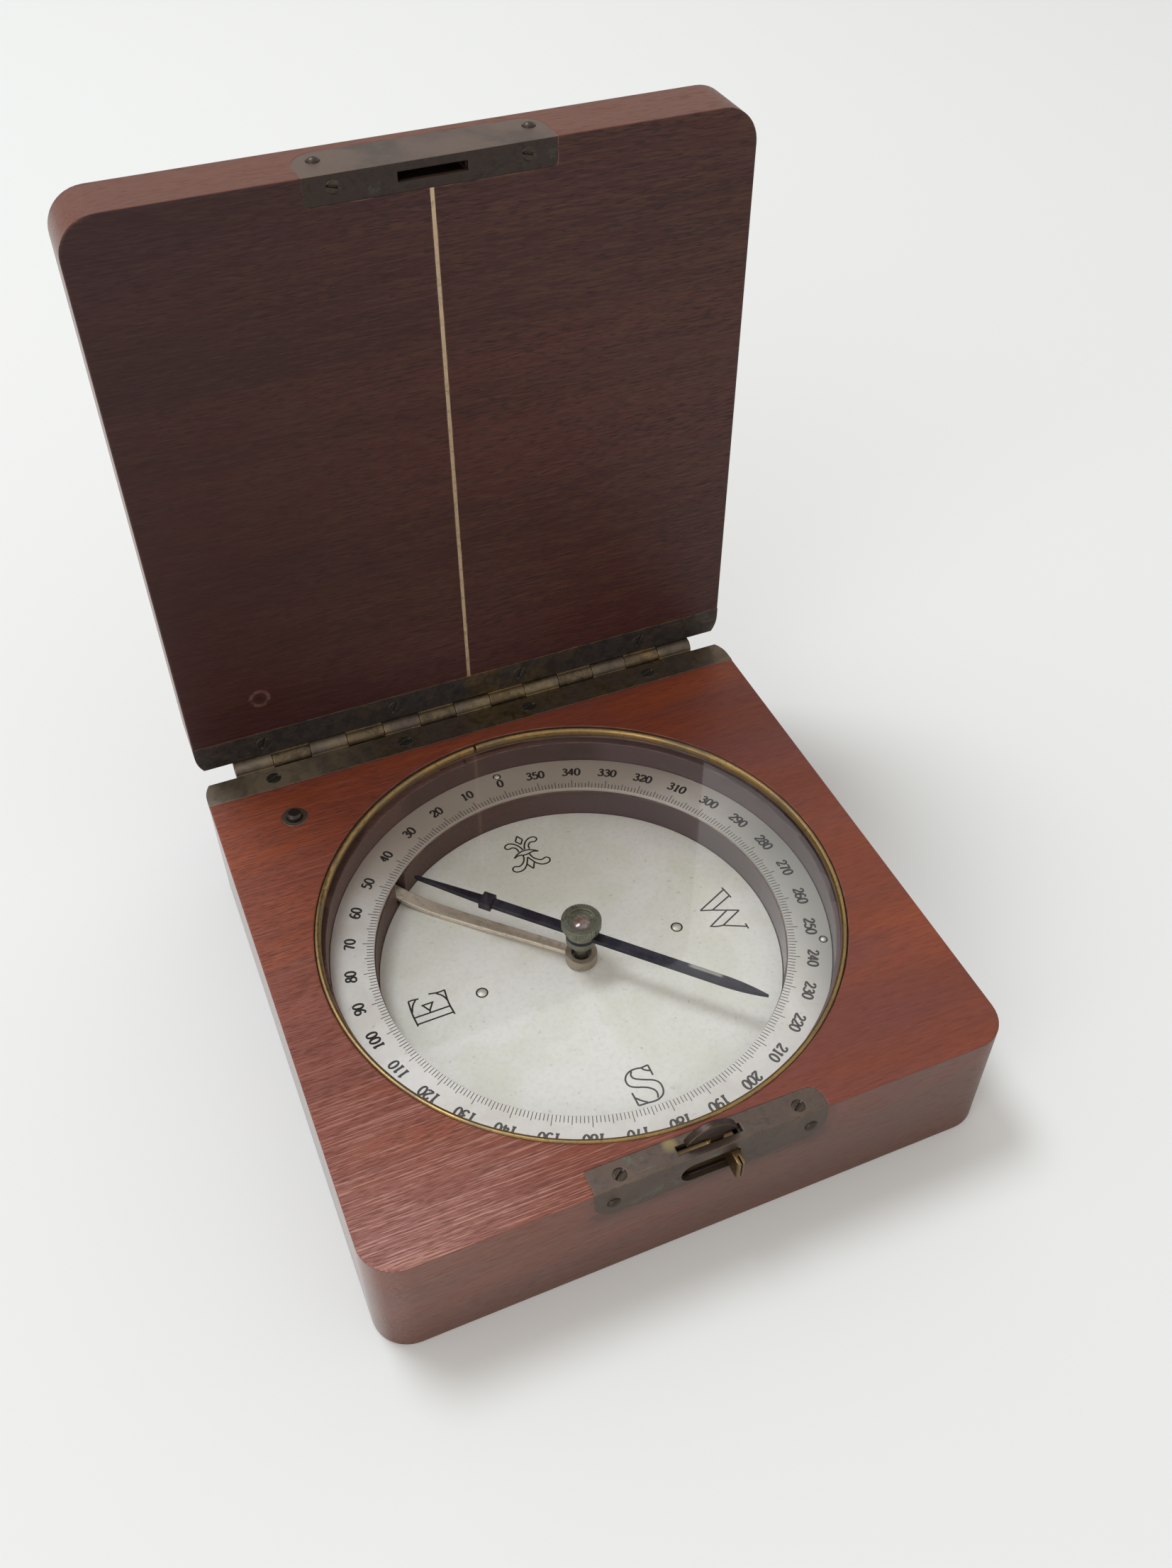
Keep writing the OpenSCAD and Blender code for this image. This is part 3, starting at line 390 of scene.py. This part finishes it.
metals = {  # tones: clean, dull and deep
    "hingeBrass": {"tones": ("#8a7853", "#5f5349", "#3b3430"), "share": 0.58, "dirt": 0.25,
                   "paler": (leftEnd, "#756857"), "on": ["base_hinge_leaf"]},
    "hingeBrassDark": {"tones": ("#957a48", "#47423f", "#2a2628"), "share": 0.64, "dirt": 0.4,
                       "change": brightKnuckles, "on": ["lid_hinge_leaf"]},
    # the plate's rubbed bright edges also paint the highlight along its bend
    "plateBrass": {"tones": ("#806a52", "#584b44", "#3d3530"), "share": 0.66, "green": 0.45, "rubbed": 1.0,
                   "paler": (slotEnd, "#8c7c4e"), "on": ["base_catch_plate"]},
    "bushBrass": {"tones": ("#8c7a62", "#5f554b", "#433c36"), "share": 0.6, "on": ["plunger_bush"]},
    "lidPlateBrass": {"tones": ("#534533", "#3a312d", "#262120"), "share": 0.66, "green": 0.2,
                      "paler": (topEdge, "#574438"), "on": ["lid_catch_plate"]},
    "screwBrass": {"tones": ("#6a5e46", "#45403a", "#2b2724"), "share": 0.7, "rubbed": 0.25, "dirt": 0.5,
                   "on": ["base_hinge_screws", "lid_hinge_screws"]},
    "pinBrass": {"tones": ("#6f5f4e", "#40362f", "#282220"), "share": 0.66, "rough": (0.25, 0.4), "rubbed": 0.35,
                 "on": ["base_catch_screws", "lid_catch_screws"]},
    "bezelBrass": {"tones": ("#9a7d4e", "#6e5f4a", "#40372d"), "share": 0.46, "rough": (0.28, 0.45),
                   "metal": (0.95, 0.75), "scale": 1.5, "on": ["bezel_ring", "hinge_pin"]},
    "latchBrass": {"tones": ("#92764e", "#3a2f2a", "#261f1d"), "share": 0.62, "rough": (0.25, 0.45),
                   "change": lowerPart, "on": ["latch_bolt"]},
    "plungerSteel": {"tones": ("#7a6f62", "#3d3530", "#241f1c"), "share": 0.62, "rough": (0.2, 0.35),
                     "on": ["plunger_pin"]},
    "capBrass": {"tones": ("#939484", "#6d6e62", "#484840"), "rough": (0.22, 0.42), "round": 0.1, "scale": 2.0,
                 "on": ["needle_cap", "needle_hub_washer", "pivot_post"]},
    "lifterBrass": {"tones": ("#e6dac8", "#c8bba8", "#a09381"), "share": 0.36, "rough": (0.3, 0.42),
                    "metal": (0.6, 0.3), "on": ["lifter_lever"]},
    "collarBrass": {"tones": ("#b3a694", "#8d8172", "#665c50"), "share": 0.4, "rough": (0.3, 0.42),
                    "metal": (0.6, 0.3), "on": ["lifter_collar"]},
    "sightBrass": {"tones": ("#c0a88a", "#957f68", "#5f5142"), "share": 0.4, "metal": (0.7, 0.4), "round": 0.1,
                   "on": ["lid_sight_line"]},
    "plainSteel": {"tones": ("#b0b0ae", "#8a8a86", "#5c5a56"), "share": 0.4, "round": 0.1,
                   "on": ["pivot_point", "lifter_fulcrum_pin"]},
}


def oldMetal(name, look):
    wire = newMaterial(name)
    clean, dull, deep = look["tones"]
    broad = wire.place.noise(90.0 * look["scale"], 4.0, 0.6, 0.4)
    fine = wire.place.noise(900.0 * look["scale"], 3.0, 0.6)
    speck = wire.place.noise(2600.0 * look["scale"], 2.0)
    rounded = roundedNormal(wire, look["round"])
    rub = edgeMask(wire, rounded, 0.2) * fine.band(0.3, 0.6)
    tarnish = 1.0 - (broad * 0.6 + fine * 0.4).band(look["share"] - 0.15, look["share"] + 0.15)
    if look["change"]:
        tarnish = look["change"](wire, tarnish)
    tarnish = (tarnish - rub * look["rubbed"]).clip()
    colour = tarnish.mix(clean, dull)
    colour = (fine.band(0.45, 0.75) * 0.5).mix(colour, deep)
    colour = (speck.band(0.62, 0.72) * 0.5).mix(colour, deep)
    if look["green"]:
        spot = wire.place.noise(300.0, 4.0, 0.7).band(0.57, 0.72) * look["green"]
        colour = spot.mix(colour, "#606c5c")
    scratch = wire.place.stretch((300, 5200, 5200), turn=(0, 0, 0.5)).noise(1.0, 1.0).band(0.66, 0.72)
    colour = (scratch * 0.25).mix(colour, clean)
    smooth, dulled = look["rough"]
    roughness = smooth + (tarnish * 0.7 + fine * 0.3) * (dulled - smooth)
    bare, covered = look["metal"]
    metallic = bare + tarnish * (covered - bare)
    if look["paler"]:
        zone = look["paler"][0](wire) * (0.45 + broad.band(0.35, 0.6) * 0.55)
        colour = zone.mix(colour, look["paler"][1])
        metallic = metallic * (1.0 - zone * 0.6)
    if look["dirt"]:
        patch = wire.place.noise(460.0, 4.0, 0.65, 0.3).band(0.44, 0.62) * look["dirt"]
        colour = patch.mix(colour, "#1f1e20")
    height = fine * 0.6 + speck * 0.3 - scratch * 0.2
    return finishMaterial(wire, Base_Color=colour, Roughness=roughness, Metallic=metallic,
                          Normal=bumps(wire, height, 0.35, 0.03, rounded))


for name, look in metals.items():
    dress(oldMetal(name, {**plainMetal, **look}), look["on"])

needleLook = {  # lengths in millimetres
    "blue": ("#2a2a34", "#413f48"),
    "rubbed": "#a8a49c",  # a painted highlight on the south end's upper edge, where it is also polished
    "hub": (0, -2.8, 16.6),
    "across": (0.719, 0.695),  # level direction across the blade at rest
    "glintFrom": (18.5, 19.5),
    "glintTo": (24, 25),
    "glintSide": (0, 1),
    "glintEdge": (0.1, 0.35),
}


def bluedSteel(look):
    wire = newMaterial("bluedSteel")
    fine = wire.place.noise(1500.0, 3.0, 0.6)
    patch = wire.place.noise(240.0, 3.0, 0.6)
    px, py, pz = wire.place.parts()
    across = px * look["across"][0] + (py - dial["centre"][1] * mm) * look["across"][1]
    away = wire.place.distance(look["hub"])
    # painted highlight, partly a polished rub, on the south arm
    rubbed = away.rise(*look["glintFrom"]) * away.fall(*look["glintTo"]) * px.rise(*look["glintSide"])
    rubbed = rubbed * across.rise(*look["glintEdge"])
    colour = patch.band(0.4, 0.7).mix(*look["blue"])
    colour = (rubbed * patch.band(0.25, 0.5) * 0.8).mix(colour, look["rubbed"])
    return finishMaterial(wire, Base_Color=colour, Roughness=0.3 + fine * 0.2, Metallic=0.9,
                          Normal=bumps(wire, fine, 0.3, 0.02, roundedNormal(wire, 0.15)))


dress(bluedSteel(needleLook), ["needle_blade", "needle_rider"])

print("stage: silvered dial, glass and jewel")

silvers = {  # top is the upper face's height, pins are their places, the two dim tones are painted shade in the west and north
    "silveredRing": {"tones": ("#dad6d2", "#cac3bb"), "metallic": 0.3, "top": dial["ringTop"],
                     "pins": [(0, 37.4), (-33.71, -24.69), (36.72, -19.15)], "shadeWestNorth": ("#a5a39c", "#aea092"),
                     "on": ["degree_ring"]},
    "silveredPlate": {"tones": ("#eae9e5", "#deddd0"), "metallic": 0.05, "top": dial["plateTop"],
                      "pins": [(-17.9, -2.8), (17.9, -2.8)], "shadeWestNorth": None, "on": ["dial_plate"]},
    "silveredPins": {"tones": ("#d9d5c9", "#bfb8a6"), "metallic": 0.5, "top": 0, "pins": [], "shadeWestNorth": None,
                     "on": ["degree_ring_pins", "dial_plate_pins"]},
}


def silvered(name, look):
    wire = newMaterial(name)
    px, py, pz = wire.place.parts()
    stain = wire.place.noise(70.0, 4.0, 0.6, 0.6)
    fine = wire.place.noise(1400.0, 3.0, 0.6)
    speck = wire.place.noise(900.0, 2.0).band(0.68, 0.76)
    colour = stain.band(0.35, 0.75).mix(*look["tones"])
    colour = (fine.band(0.4, 0.8) * 0.3).mix(colour, "#c4c3b8")
    colour = (speck * 0.35).mix(colour, "#9a978a")
    # painted shade: darker towards the west and the north of the ring
    if look["shadeWestNorth"]:
        west, north = look["shadeWestNorth"]
        colour = (px.rise(24, 38) * py.fall(2, 22)).mix(colour, west)
        colour = (py.rise(12, 32) * 0.75).mix(colour, north)
    for spot in look["pins"]:  # old dirt in the groove round each pin
        sunk = pz.fall(look["top"] - 0.12, look["top"] - 0.03)
        colour = (sunk * levelDistance(wire, px, py, spot).fall(1.4, 1.5)).mix(colour, "#2c2823")
    return finishMaterial(wire, Base_Color=colour, Roughness=0.42 + fine * 0.1, Metallic=look["metallic"],
                          Normal=bumps(wire, fine, 0.3, 0.02, roundedNormal(wire, 0.1)))


def clearGlass():
    wire = newMaterial("coverGlass")
    smear = wire.place.noise(60.0, 4.0, 0.6)
    sheen = wire.node("ShaderNodeFresnel", {}, {"IOR": 1.5})
    front = 1.0 - wire.node("ShaderNodeNewGeometry", out=6)  # the far face only lets light through
    return finishMaterial(wire, Base_Color=(1, 1, 1, 1), Metallic=1.0, Roughness=0.03 + smear * 0.03,
                          Alpha=(sheen * front * 1.3).clip())


def jewel():
    wire = newMaterial("capJewel")
    cloud = wire.place.noise(1600.0, 3.0)
    colour = cloud.band(0.35, 0.7).mix("#6c5148", "#887972")
    return finishMaterial(wire, Base_Color=colour, Roughness=0.12, Coat_Weight=0.8)


for name, look in silvers.items():
    dress(silvered(name, look), look["on"])
dress(clearGlass(), ["glass_cover"])
dress(jewel(), ["cap_jewel"])

print("stage: dial markings")

marks = {  # lengths in millimetres
    "ink": "#14110f",
    "inkPale": "#322c26",
    "inkThin": "#58544c",  # worn thin in the south
    "thinFrom": (-40, -14),
    "digitHigh": 1.7,
    "digitStep": 0.68,
    "digitWide": 1.03,
    "digitMiddle": 38.35,
    "slant": 0.05,
    "thick": 0.122,
    "thin": 0.088,
    "tickFrom": 34.35,
    "tick": {1: 1.15, 5: 1.5, 10: 1.9},
    "tickWide": 0.12,
    "tickDeep": 0.04,
    "letterWidth": 0.15,
    "flatness": 0.2,
}

digits = {  # strokes in a cell 0.6 wide and 1 high: kind, closed, points
    "0": [("bend", True, [(.3, 1), (.12, .85), (.05, .5), (.12, .15), (.3, 0), (.48, .15), (.55, .5), (.48, .85)])],
    "1": [("line", False, [(.32, 0), (.32, 1)]), ("bend", False, [(.32, .98), (.25, .86), (.14, .8)]),
          ("line", False, [(.15, 0), (.49, 0)])],
    "2": [("bend", False, [(.1, .74), (.14, .92), (.3, 1), (.48, .92), (.52, .74), (.4, .48), (.2, .22), (.06, .03)]),
          ("line", False, [(.06, .03), (.54, .03), (.55, .2)])],
    "3": [("bend", False, [(.1, .84), (.28, 1), (.47, .88), (.46, .66), (.24, .54)]),
          ("bend", False, [(.24, .54), (.5, .44), (.55, .2), (.34, 0), (.14, .05), (.09, .16)])],
    "4": [("line", False, [(.4, 1), (.03, .3)]), ("line", False, [(.03, .28), (.58, .28)]),
          ("line", False, [(.4, 0), (.4, 1)])],
    "5": [("line", False, [(.13, .98), (.5, .98)]), ("line", False, [(.14, .98), (.11, .54)]),
          ("bend", False, [(.11, .54), (.32, .62), (.52, .48), (.53, .22), (.34, 0), (.14, .04), (.08, .15)])],
    "6": [("bend", False, [(.5, .88), (.36, 1), (.16, .82), (.06, .42), (.12, .1), (.32, 0), (.51, .12), (.53, .36),
                           (.36, .54), (.16, .46), (.08, .32)])],
    "7": [("line", False, [(.08, .86), (.08, .97), (.55, .97)]), ("bend", False, [(.55, .97), (.38, .6), (.24, 0)])],
    "8": [("bend", True, [(.3, .54), (.13, .66), (.13, .9), (.3, 1), (.47, .9), (.47, .66)]),
          ("bend", True, [(.3, .54), (.08, .4), (.07, .12), (.3, 0), (.53, .12), (.52, .4)])],
    "9": [("bend", False, [(.1, .12), (.24, 0), (.44, .18), (.54, .58), (.48, .9), (.28, 1), (.09, .88), (.07, .64),
                           (.24, .46), (.44, .54), (.52, .68)])],
}

letters = {  # centre on the plate in mm from the dial's middle, then strokes: kind, closed, points
    "south": ((0, -26.61), [
        ("bend", False, [(0.41, 3.0), (-0.71, 3.2), (-1.83, 3.0), (-2.64, 2.29), (-2.9, 1.47), (-2.69, 0.66),
                         (-1.83, 0.05), (-0.71, -0.41), (0.2, -0.97), (0.76, -1.68), (0.81, -2.39), (0.56, -3.0)]),
        ("bend", False, [(-1.32, 3.0), (-1.68, 2.39), (-1.57, 1.78), (-0.91, 1.27), (0.3, 0.66), (1.32, 0.15),
                         (1.93, -0.56), (2.03, -1.47), (1.73, -2.49), (1.02, -3.1), (0.0, -3.35),
                         (-1.12, -3.25), (-2.79, -3.15)]),
        ("line", False, [(0.41, 3.0), (1.57, 3.1), (1.57, 1.07)]),
        ("bend", False, [(0.41, 2.9), (0.81, 2.39), (1.52, 1.98)]),
        ("line", False, [(-2.84, -0.66), (-2.79, -3.15)]),
        ("bend", False, [(-2.74, -1.68), (-2.13, -2.39), (-1.22, -3.15)]),
    ]),
    "east": ((-26.67, 0), [
        ("bend", False, [(-3.1, 3.01), (-3.25, 0.37), (-3.1, -2.28)]),
        ("bend", False, [(3.2, 3.01), (3.0, 0.37), (3.2, -2.28)]),
        ("line", False, [(-3.15, -0.5), (3.05, -0.43)]),
        ("line", False, [(-3.15, -1.92), (3.1, -1.82)]),
        ("bend", False, [(-3.1, 3.01), (-2.49, 3.03), (-1.37, 2.91)]),
        ("bend", False, [(-1.88, 2.91), (-2.69, 1.89), (-3.15, 0.67)]),
        ("bend", False, [(3.2, 2.96), (2.08, 2.91), (0.46, 3.21)]),
        ("bend", False, [(1.68, 2.85), (2.59, 1.89), (3.05, 0.67)]),
        ("line", False, [(-1.37, 1.38), (0.76, 1.38)]),
        ("line", False, [(-1.17, 1.38), (-0.36, -0.04), (0.56, 1.38)]),
        ("line", False, [(-0.36, -0.04), (-0.36, -0.5)]),
    ]),
    "west": ((26.31, 0), [
        ("line", False, [(2.74, 4.38), (-3.05, 1.69), (-1.02, 0.98), (3.1, 2.75)]),
        ("line", False, [(2.79, 4.94), (3.3, 2.3)]),
        ("line", False, [(-1.02, 0.98), (3.25, -0.85), (-0.81, -2.78), (2.79, -4.56)]),
        ("line", False, [(1.22, -0.04), (-2.74, -2.07)]),
        ("bend", False, [(-3.05, -2.07), (-2.13, -2.53), (-0.81, -2.78)]),
        ("line", False, [(2.9, -3.9), (2.9, -5.12)]),
    ]),
    "north": ((0, 26.27), [
        ("line", True, [(0.0, 4.27), (-0.71, 3.15), (0.0, 2.13), (0.66, 3.15)]),
        ("bend", False, [(-0.15, 0.71), (-0.51, 1.73), (-1.22, 2.64), (-2.13, 3.05), (-2.84, 2.79), (-3.0, 2.24),
                         (-2.44, 1.83), (-1.83, 1.93), (-1.22, 1.52), (-1.02, 0.51)]),
        ("bend", False, [(0.15, 0.71), (0.51, 1.73), (1.22, 2.64), (2.13, 3.05), (2.95, 2.84), (3.1, 2.24),
                         (2.54, 1.83), (1.83, 1.98), (1.22, 1.52), (1.02, 0.51)]),
        ("bend", False, [(-2.34, -0.61), (-1.42, 0.1), (0.0, 0.51), (1.42, 0.1), (2.34, -0.61)]),
        ("bend", False, [(-2.34, -0.61), (-1.42, -0.3), (0.0, -0.56), (1.42, -0.3), (2.34, -0.61)]),
        ("bend", False, [(-0.61, -0.61), (-0.81, -1.52), (-1.42, -2.34), (-2.24, -2.74), (-2.95, -2.49), (-3.51, -2.9),
                         (-3.4, -3.56), (-2.64, -3.91), (-1.73, -3.76), (-1.02, -3.15), (-0.71, -2.74)]),
        ("bend", False, [(0.61, -0.61), (0.81, -1.52), (1.42, -2.34), (2.24, -2.74), (2.95, -2.49), (3.51, -2.9),
                         (3.4, -3.56), (2.64, -3.91), (1.73, -3.76), (1.02, -3.15), (0.71, -2.74)]),
        ("line", True, [(0.0, -1.22), (-0.71, -2.74), (0.0, -4.17), (0.71, -2.74)]),
    ]),
}


def dialInk():
    wire = newMaterial("engravingWax")
    fade = wire.place.noise(900.0, 3.0).band(0.35, 0.75)
    tone = (fade * 0.4).mix(marks["ink"], marks["inkPale"])
    tone = (wire.place.parts()[1].fall(*marks["thinFrom"]) * 0.5).mix(tone, marks["inkThin"])
    return finishMaterial(wire, Base_Color=tone, Roughness=0.6 + fade * 0.1)


def newCurve(name):
    curve = bpy.data.curves.new(name, "CURVE")
    curve.dimensions = "3D"
    curve.bevel_depth = mm
    curve.bevel_resolution = 0
    curve.use_fill_caps = True
    curve.twist_mode = "Z_UP"
    return curve


def addStroke(curve, kind, closed, points, widths):
    spline = curve.splines.new("BEZIER")
    spline.bezier_points.add(len(points) - 1)
    handle = "AUTO" if kind == "bend" else "VECTOR"
    for dot, place, width in zip(spline.bezier_points, points, widths):
        dot.co = (place[0] * mm, place[1] * mm, 0)
        dot.radius = width
        dot.handle_left_type = dot.handle_right_type = handle
    spline.use_cyclic_u = closed
    spline.resolution_u = 3 if kind == "bend" else 1


def drawStroke(curve, kind, closed, points, placed, penWidth):  # each leg of a line is a stroke of its own
    runs = [(points, closed)]
    if kind == "line":
        ends = points[1:] + points[:1] if closed else points[1:]
        runs = [([a, b], False) for a, b in zip(points, ends)]
    for run, loop in runs:
        addStroke(curve, kind, loop, [placed(point) for point in run], penWidth(run, loop))


def markPiece(name, mesh, height, material, flatness=1.0):  # an object on the dial, at a height in millimetres
    lift = Matrix.Translation(Vector((*dial["centre"], height)) * mm)
    mesh.transform(lift @ Matrix.Diagonal((1, 1, flatness, 1)))
    mesh.materials.append(material)
    piece = bpy.data.objects.new(name, mesh)
    bpy.context.scene.collection.objects.link(piece)
    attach(piece, "case")


def curveMesh(curve):
    holder = bpy.data.objects.new(curve.name, curve)
    bpy.context.scene.collection.objects.link(holder)
    bpy.context.view_layer.update()
    mesh = bpy.data.meshes.new_from_object(holder.evaluated_get(bpy.context.evaluated_depsgraph_get()))
    bpy.data.objects.remove(holder)
    return mesh


def bookWidths(points, closed):  # upright strokes are thick, level ones thin
    widths = []
    last = len(points) - 1
    for i, here in enumerate(points):
        before = points[i - 1] if i > 0 or closed else here
        after = points[(i + 1) % len(points)] if i < last or closed else here
        step = Vector((after[0] - before[0], after[1] - before[1]))
        upright = abs(step.y) / max(step.length, 1e-6)
        widths.append((marks["thin"] + (marks["thick"] - marks["thin"]) * upright ** 2) * marks["digitHigh"])
    return widths


waxInk = dialInk()
high = marks["digitHigh"]
numbers = newCurve("numberStrokes")
for value in range(0, 360, 10):
    text = str(value)
    turn = math.radians(value)
    up = Vector((-math.sin(turn), math.cos(turn)))
    right = Vector((math.cos(turn), math.sin(turn)))
    for place, digit in enumerate(text):
        left = (place - len(text) / 2) * marks["digitStep"] * high
        for kind, closed, points in digits[digit]:
            flat = [((x + marks["slant"] * (y - 0.5)) * high * marks["digitWide"] + left, (y - 0.5) * high)
                    for x, y in points]
            drawStroke(numbers, kind, closed, flat,
                       lambda point: right * point[0] + up * (point[1] + marks["digitMiddle"]), bookWidths)
markPiece("degreeNumbers", curveMesh(numbers), dial["ringTop"], waxInk, marks["flatness"])

tickMesh = bmesh.new()
for value in range(360):
    size = marks["tick"][10 if value % 10 == 0 else 5 if value % 5 == 0 else 1]
    turned = Matrix.Rotation(math.radians(value), 4, "Z")
    moved = Matrix.Translation(Vector((0, marks["tickFrom"] + size / 2, 0)) * mm)
    sized = Matrix.Diagonal((marks["tickWide"] * mm, size * mm, marks["tickDeep"] * mm, 1))
    bmesh.ops.create_cube(tickMesh, size=1, matrix=turned @ moved @ sized)
ticks = bpy.data.meshes.new("degreeTicks")
tickMesh.to_mesh(ticks)
tickMesh.free()
markPiece("degreeTicks", ticks, dial["ringTop"], waxInk)

letterCurve = newCurve("letterStrokes")
for centre, strokes in letters.values():
    for kind, closed, points in strokes:
        drawStroke(letterCurve, kind, closed, points, lambda point: (centre[0] + point[0], centre[1] + point[1]),
                   lambda run, loop: [marks["letterWidth"]] * len(run))
markPiece("dialLetters", curveMesh(letterCurve), dial["plateTop"], waxInk, marks["flatness"])

print("stage: floor, light and camera")

studio = {
    "floor": "#e7e9ea",
    "floorHalf": 3,
    "floorDrop": 0.00005,
    "worldLight": 0.63,
    "worldColour": (1.0, 0.955, 0.885, 1.0),
    "backdrop": 0.85,
}

lamps = {
    "key": {"place": (-0.312, 0.546, 1.417), "size": 0.55, "power": 10.06, "colour": (0.9, 0.96, 1.0)},
    "fill": {"place": (-1.2, -0.9, 0.57), "size": 1.4, "power": 9.6, "colour": (1.0, 0.985, 0.96)},
}

floorMesh = bmesh.new()
bmesh.ops.create_grid(floorMesh, x_segments=1, y_segments=1, size=studio["floorHalf"])
floorData = bpy.data.meshes.new("floor")
floorMesh.to_mesh(floorData)
floorMesh.free()
floor = bpy.data.objects.new("floor", floorData)
floor.location.z = -studio["floorDrop"]
bpy.context.scene.collection.objects.link(floor)
floorWire = newMaterial("floorPaper")
floor.data.materials.append(finishMaterial(floorWire, Base_Color=shade(studio["floor"]), Roughness=0.9))

world = bpy.data.worlds.new("studio")
world.use_nodes = True
world.node_tree.nodes.clear()
bpy.context.scene.world = world
air = Wire(world.node_tree)
rays = air.node("ShaderNodeLightPath").socket.node.outputs
seen = air.maths("MAXIMUM", Wire(air.tree, rays["Is Camera Ray"]), Wire(air.tree, rays["Is Glossy Ray"]))
strength = studio["worldLight"] + seen * (studio["backdrop"] - studio["worldLight"])
tint = seen.mix(studio["worldColour"], (1.0, 1.0, 1.0, 1.0))
background = air.node("ShaderNodeBackground", {}, {"Color": tint, "Strength": strength})
air.node("ShaderNodeOutputWorld", {}, {"Surface": background})

for name, lamp in lamps.items():
    lampData = bpy.data.lights.new(name, "AREA")
    lampData.shape = "DISK"
    lampData.size = lamp["size"]
    lampData.energy = lamp["power"]
    lampData.color = lamp["colour"]
    light = bpy.data.objects.new(name, lampData)
    light.location = lamp["place"]
    light.rotation_euler = (-Vector(lamp["place"])).to_track_quat("-Z", "Y").to_euler()
    bpy.context.scene.collection.objects.link(light)

view = {
    "lens": 32.939,
    "sensor": 36,
    "near": 0.01,
    "far": 20,
    "place": (-0.05755, -0.14014, 0.20429),
    "turn": (0.77421, -0.0014, -0.40029),
}

cameraData = bpy.data.cameras.new("camera")
cameraData.lens = view["lens"]
cameraData.sensor_width = view["sensor"]
cameraData.clip_start = view["near"]
cameraData.clip_end = view["far"]
camera = bpy.data.objects.new("camera", cameraData)
camera.location = view["place"]
camera.rotation_euler = view["turn"]
bpy.context.scene.collection.objects.link(camera)
bpy.context.scene.camera = camera
bpy.context.scene.view_settings.view_transform = "Standard"

print("stage: finish")
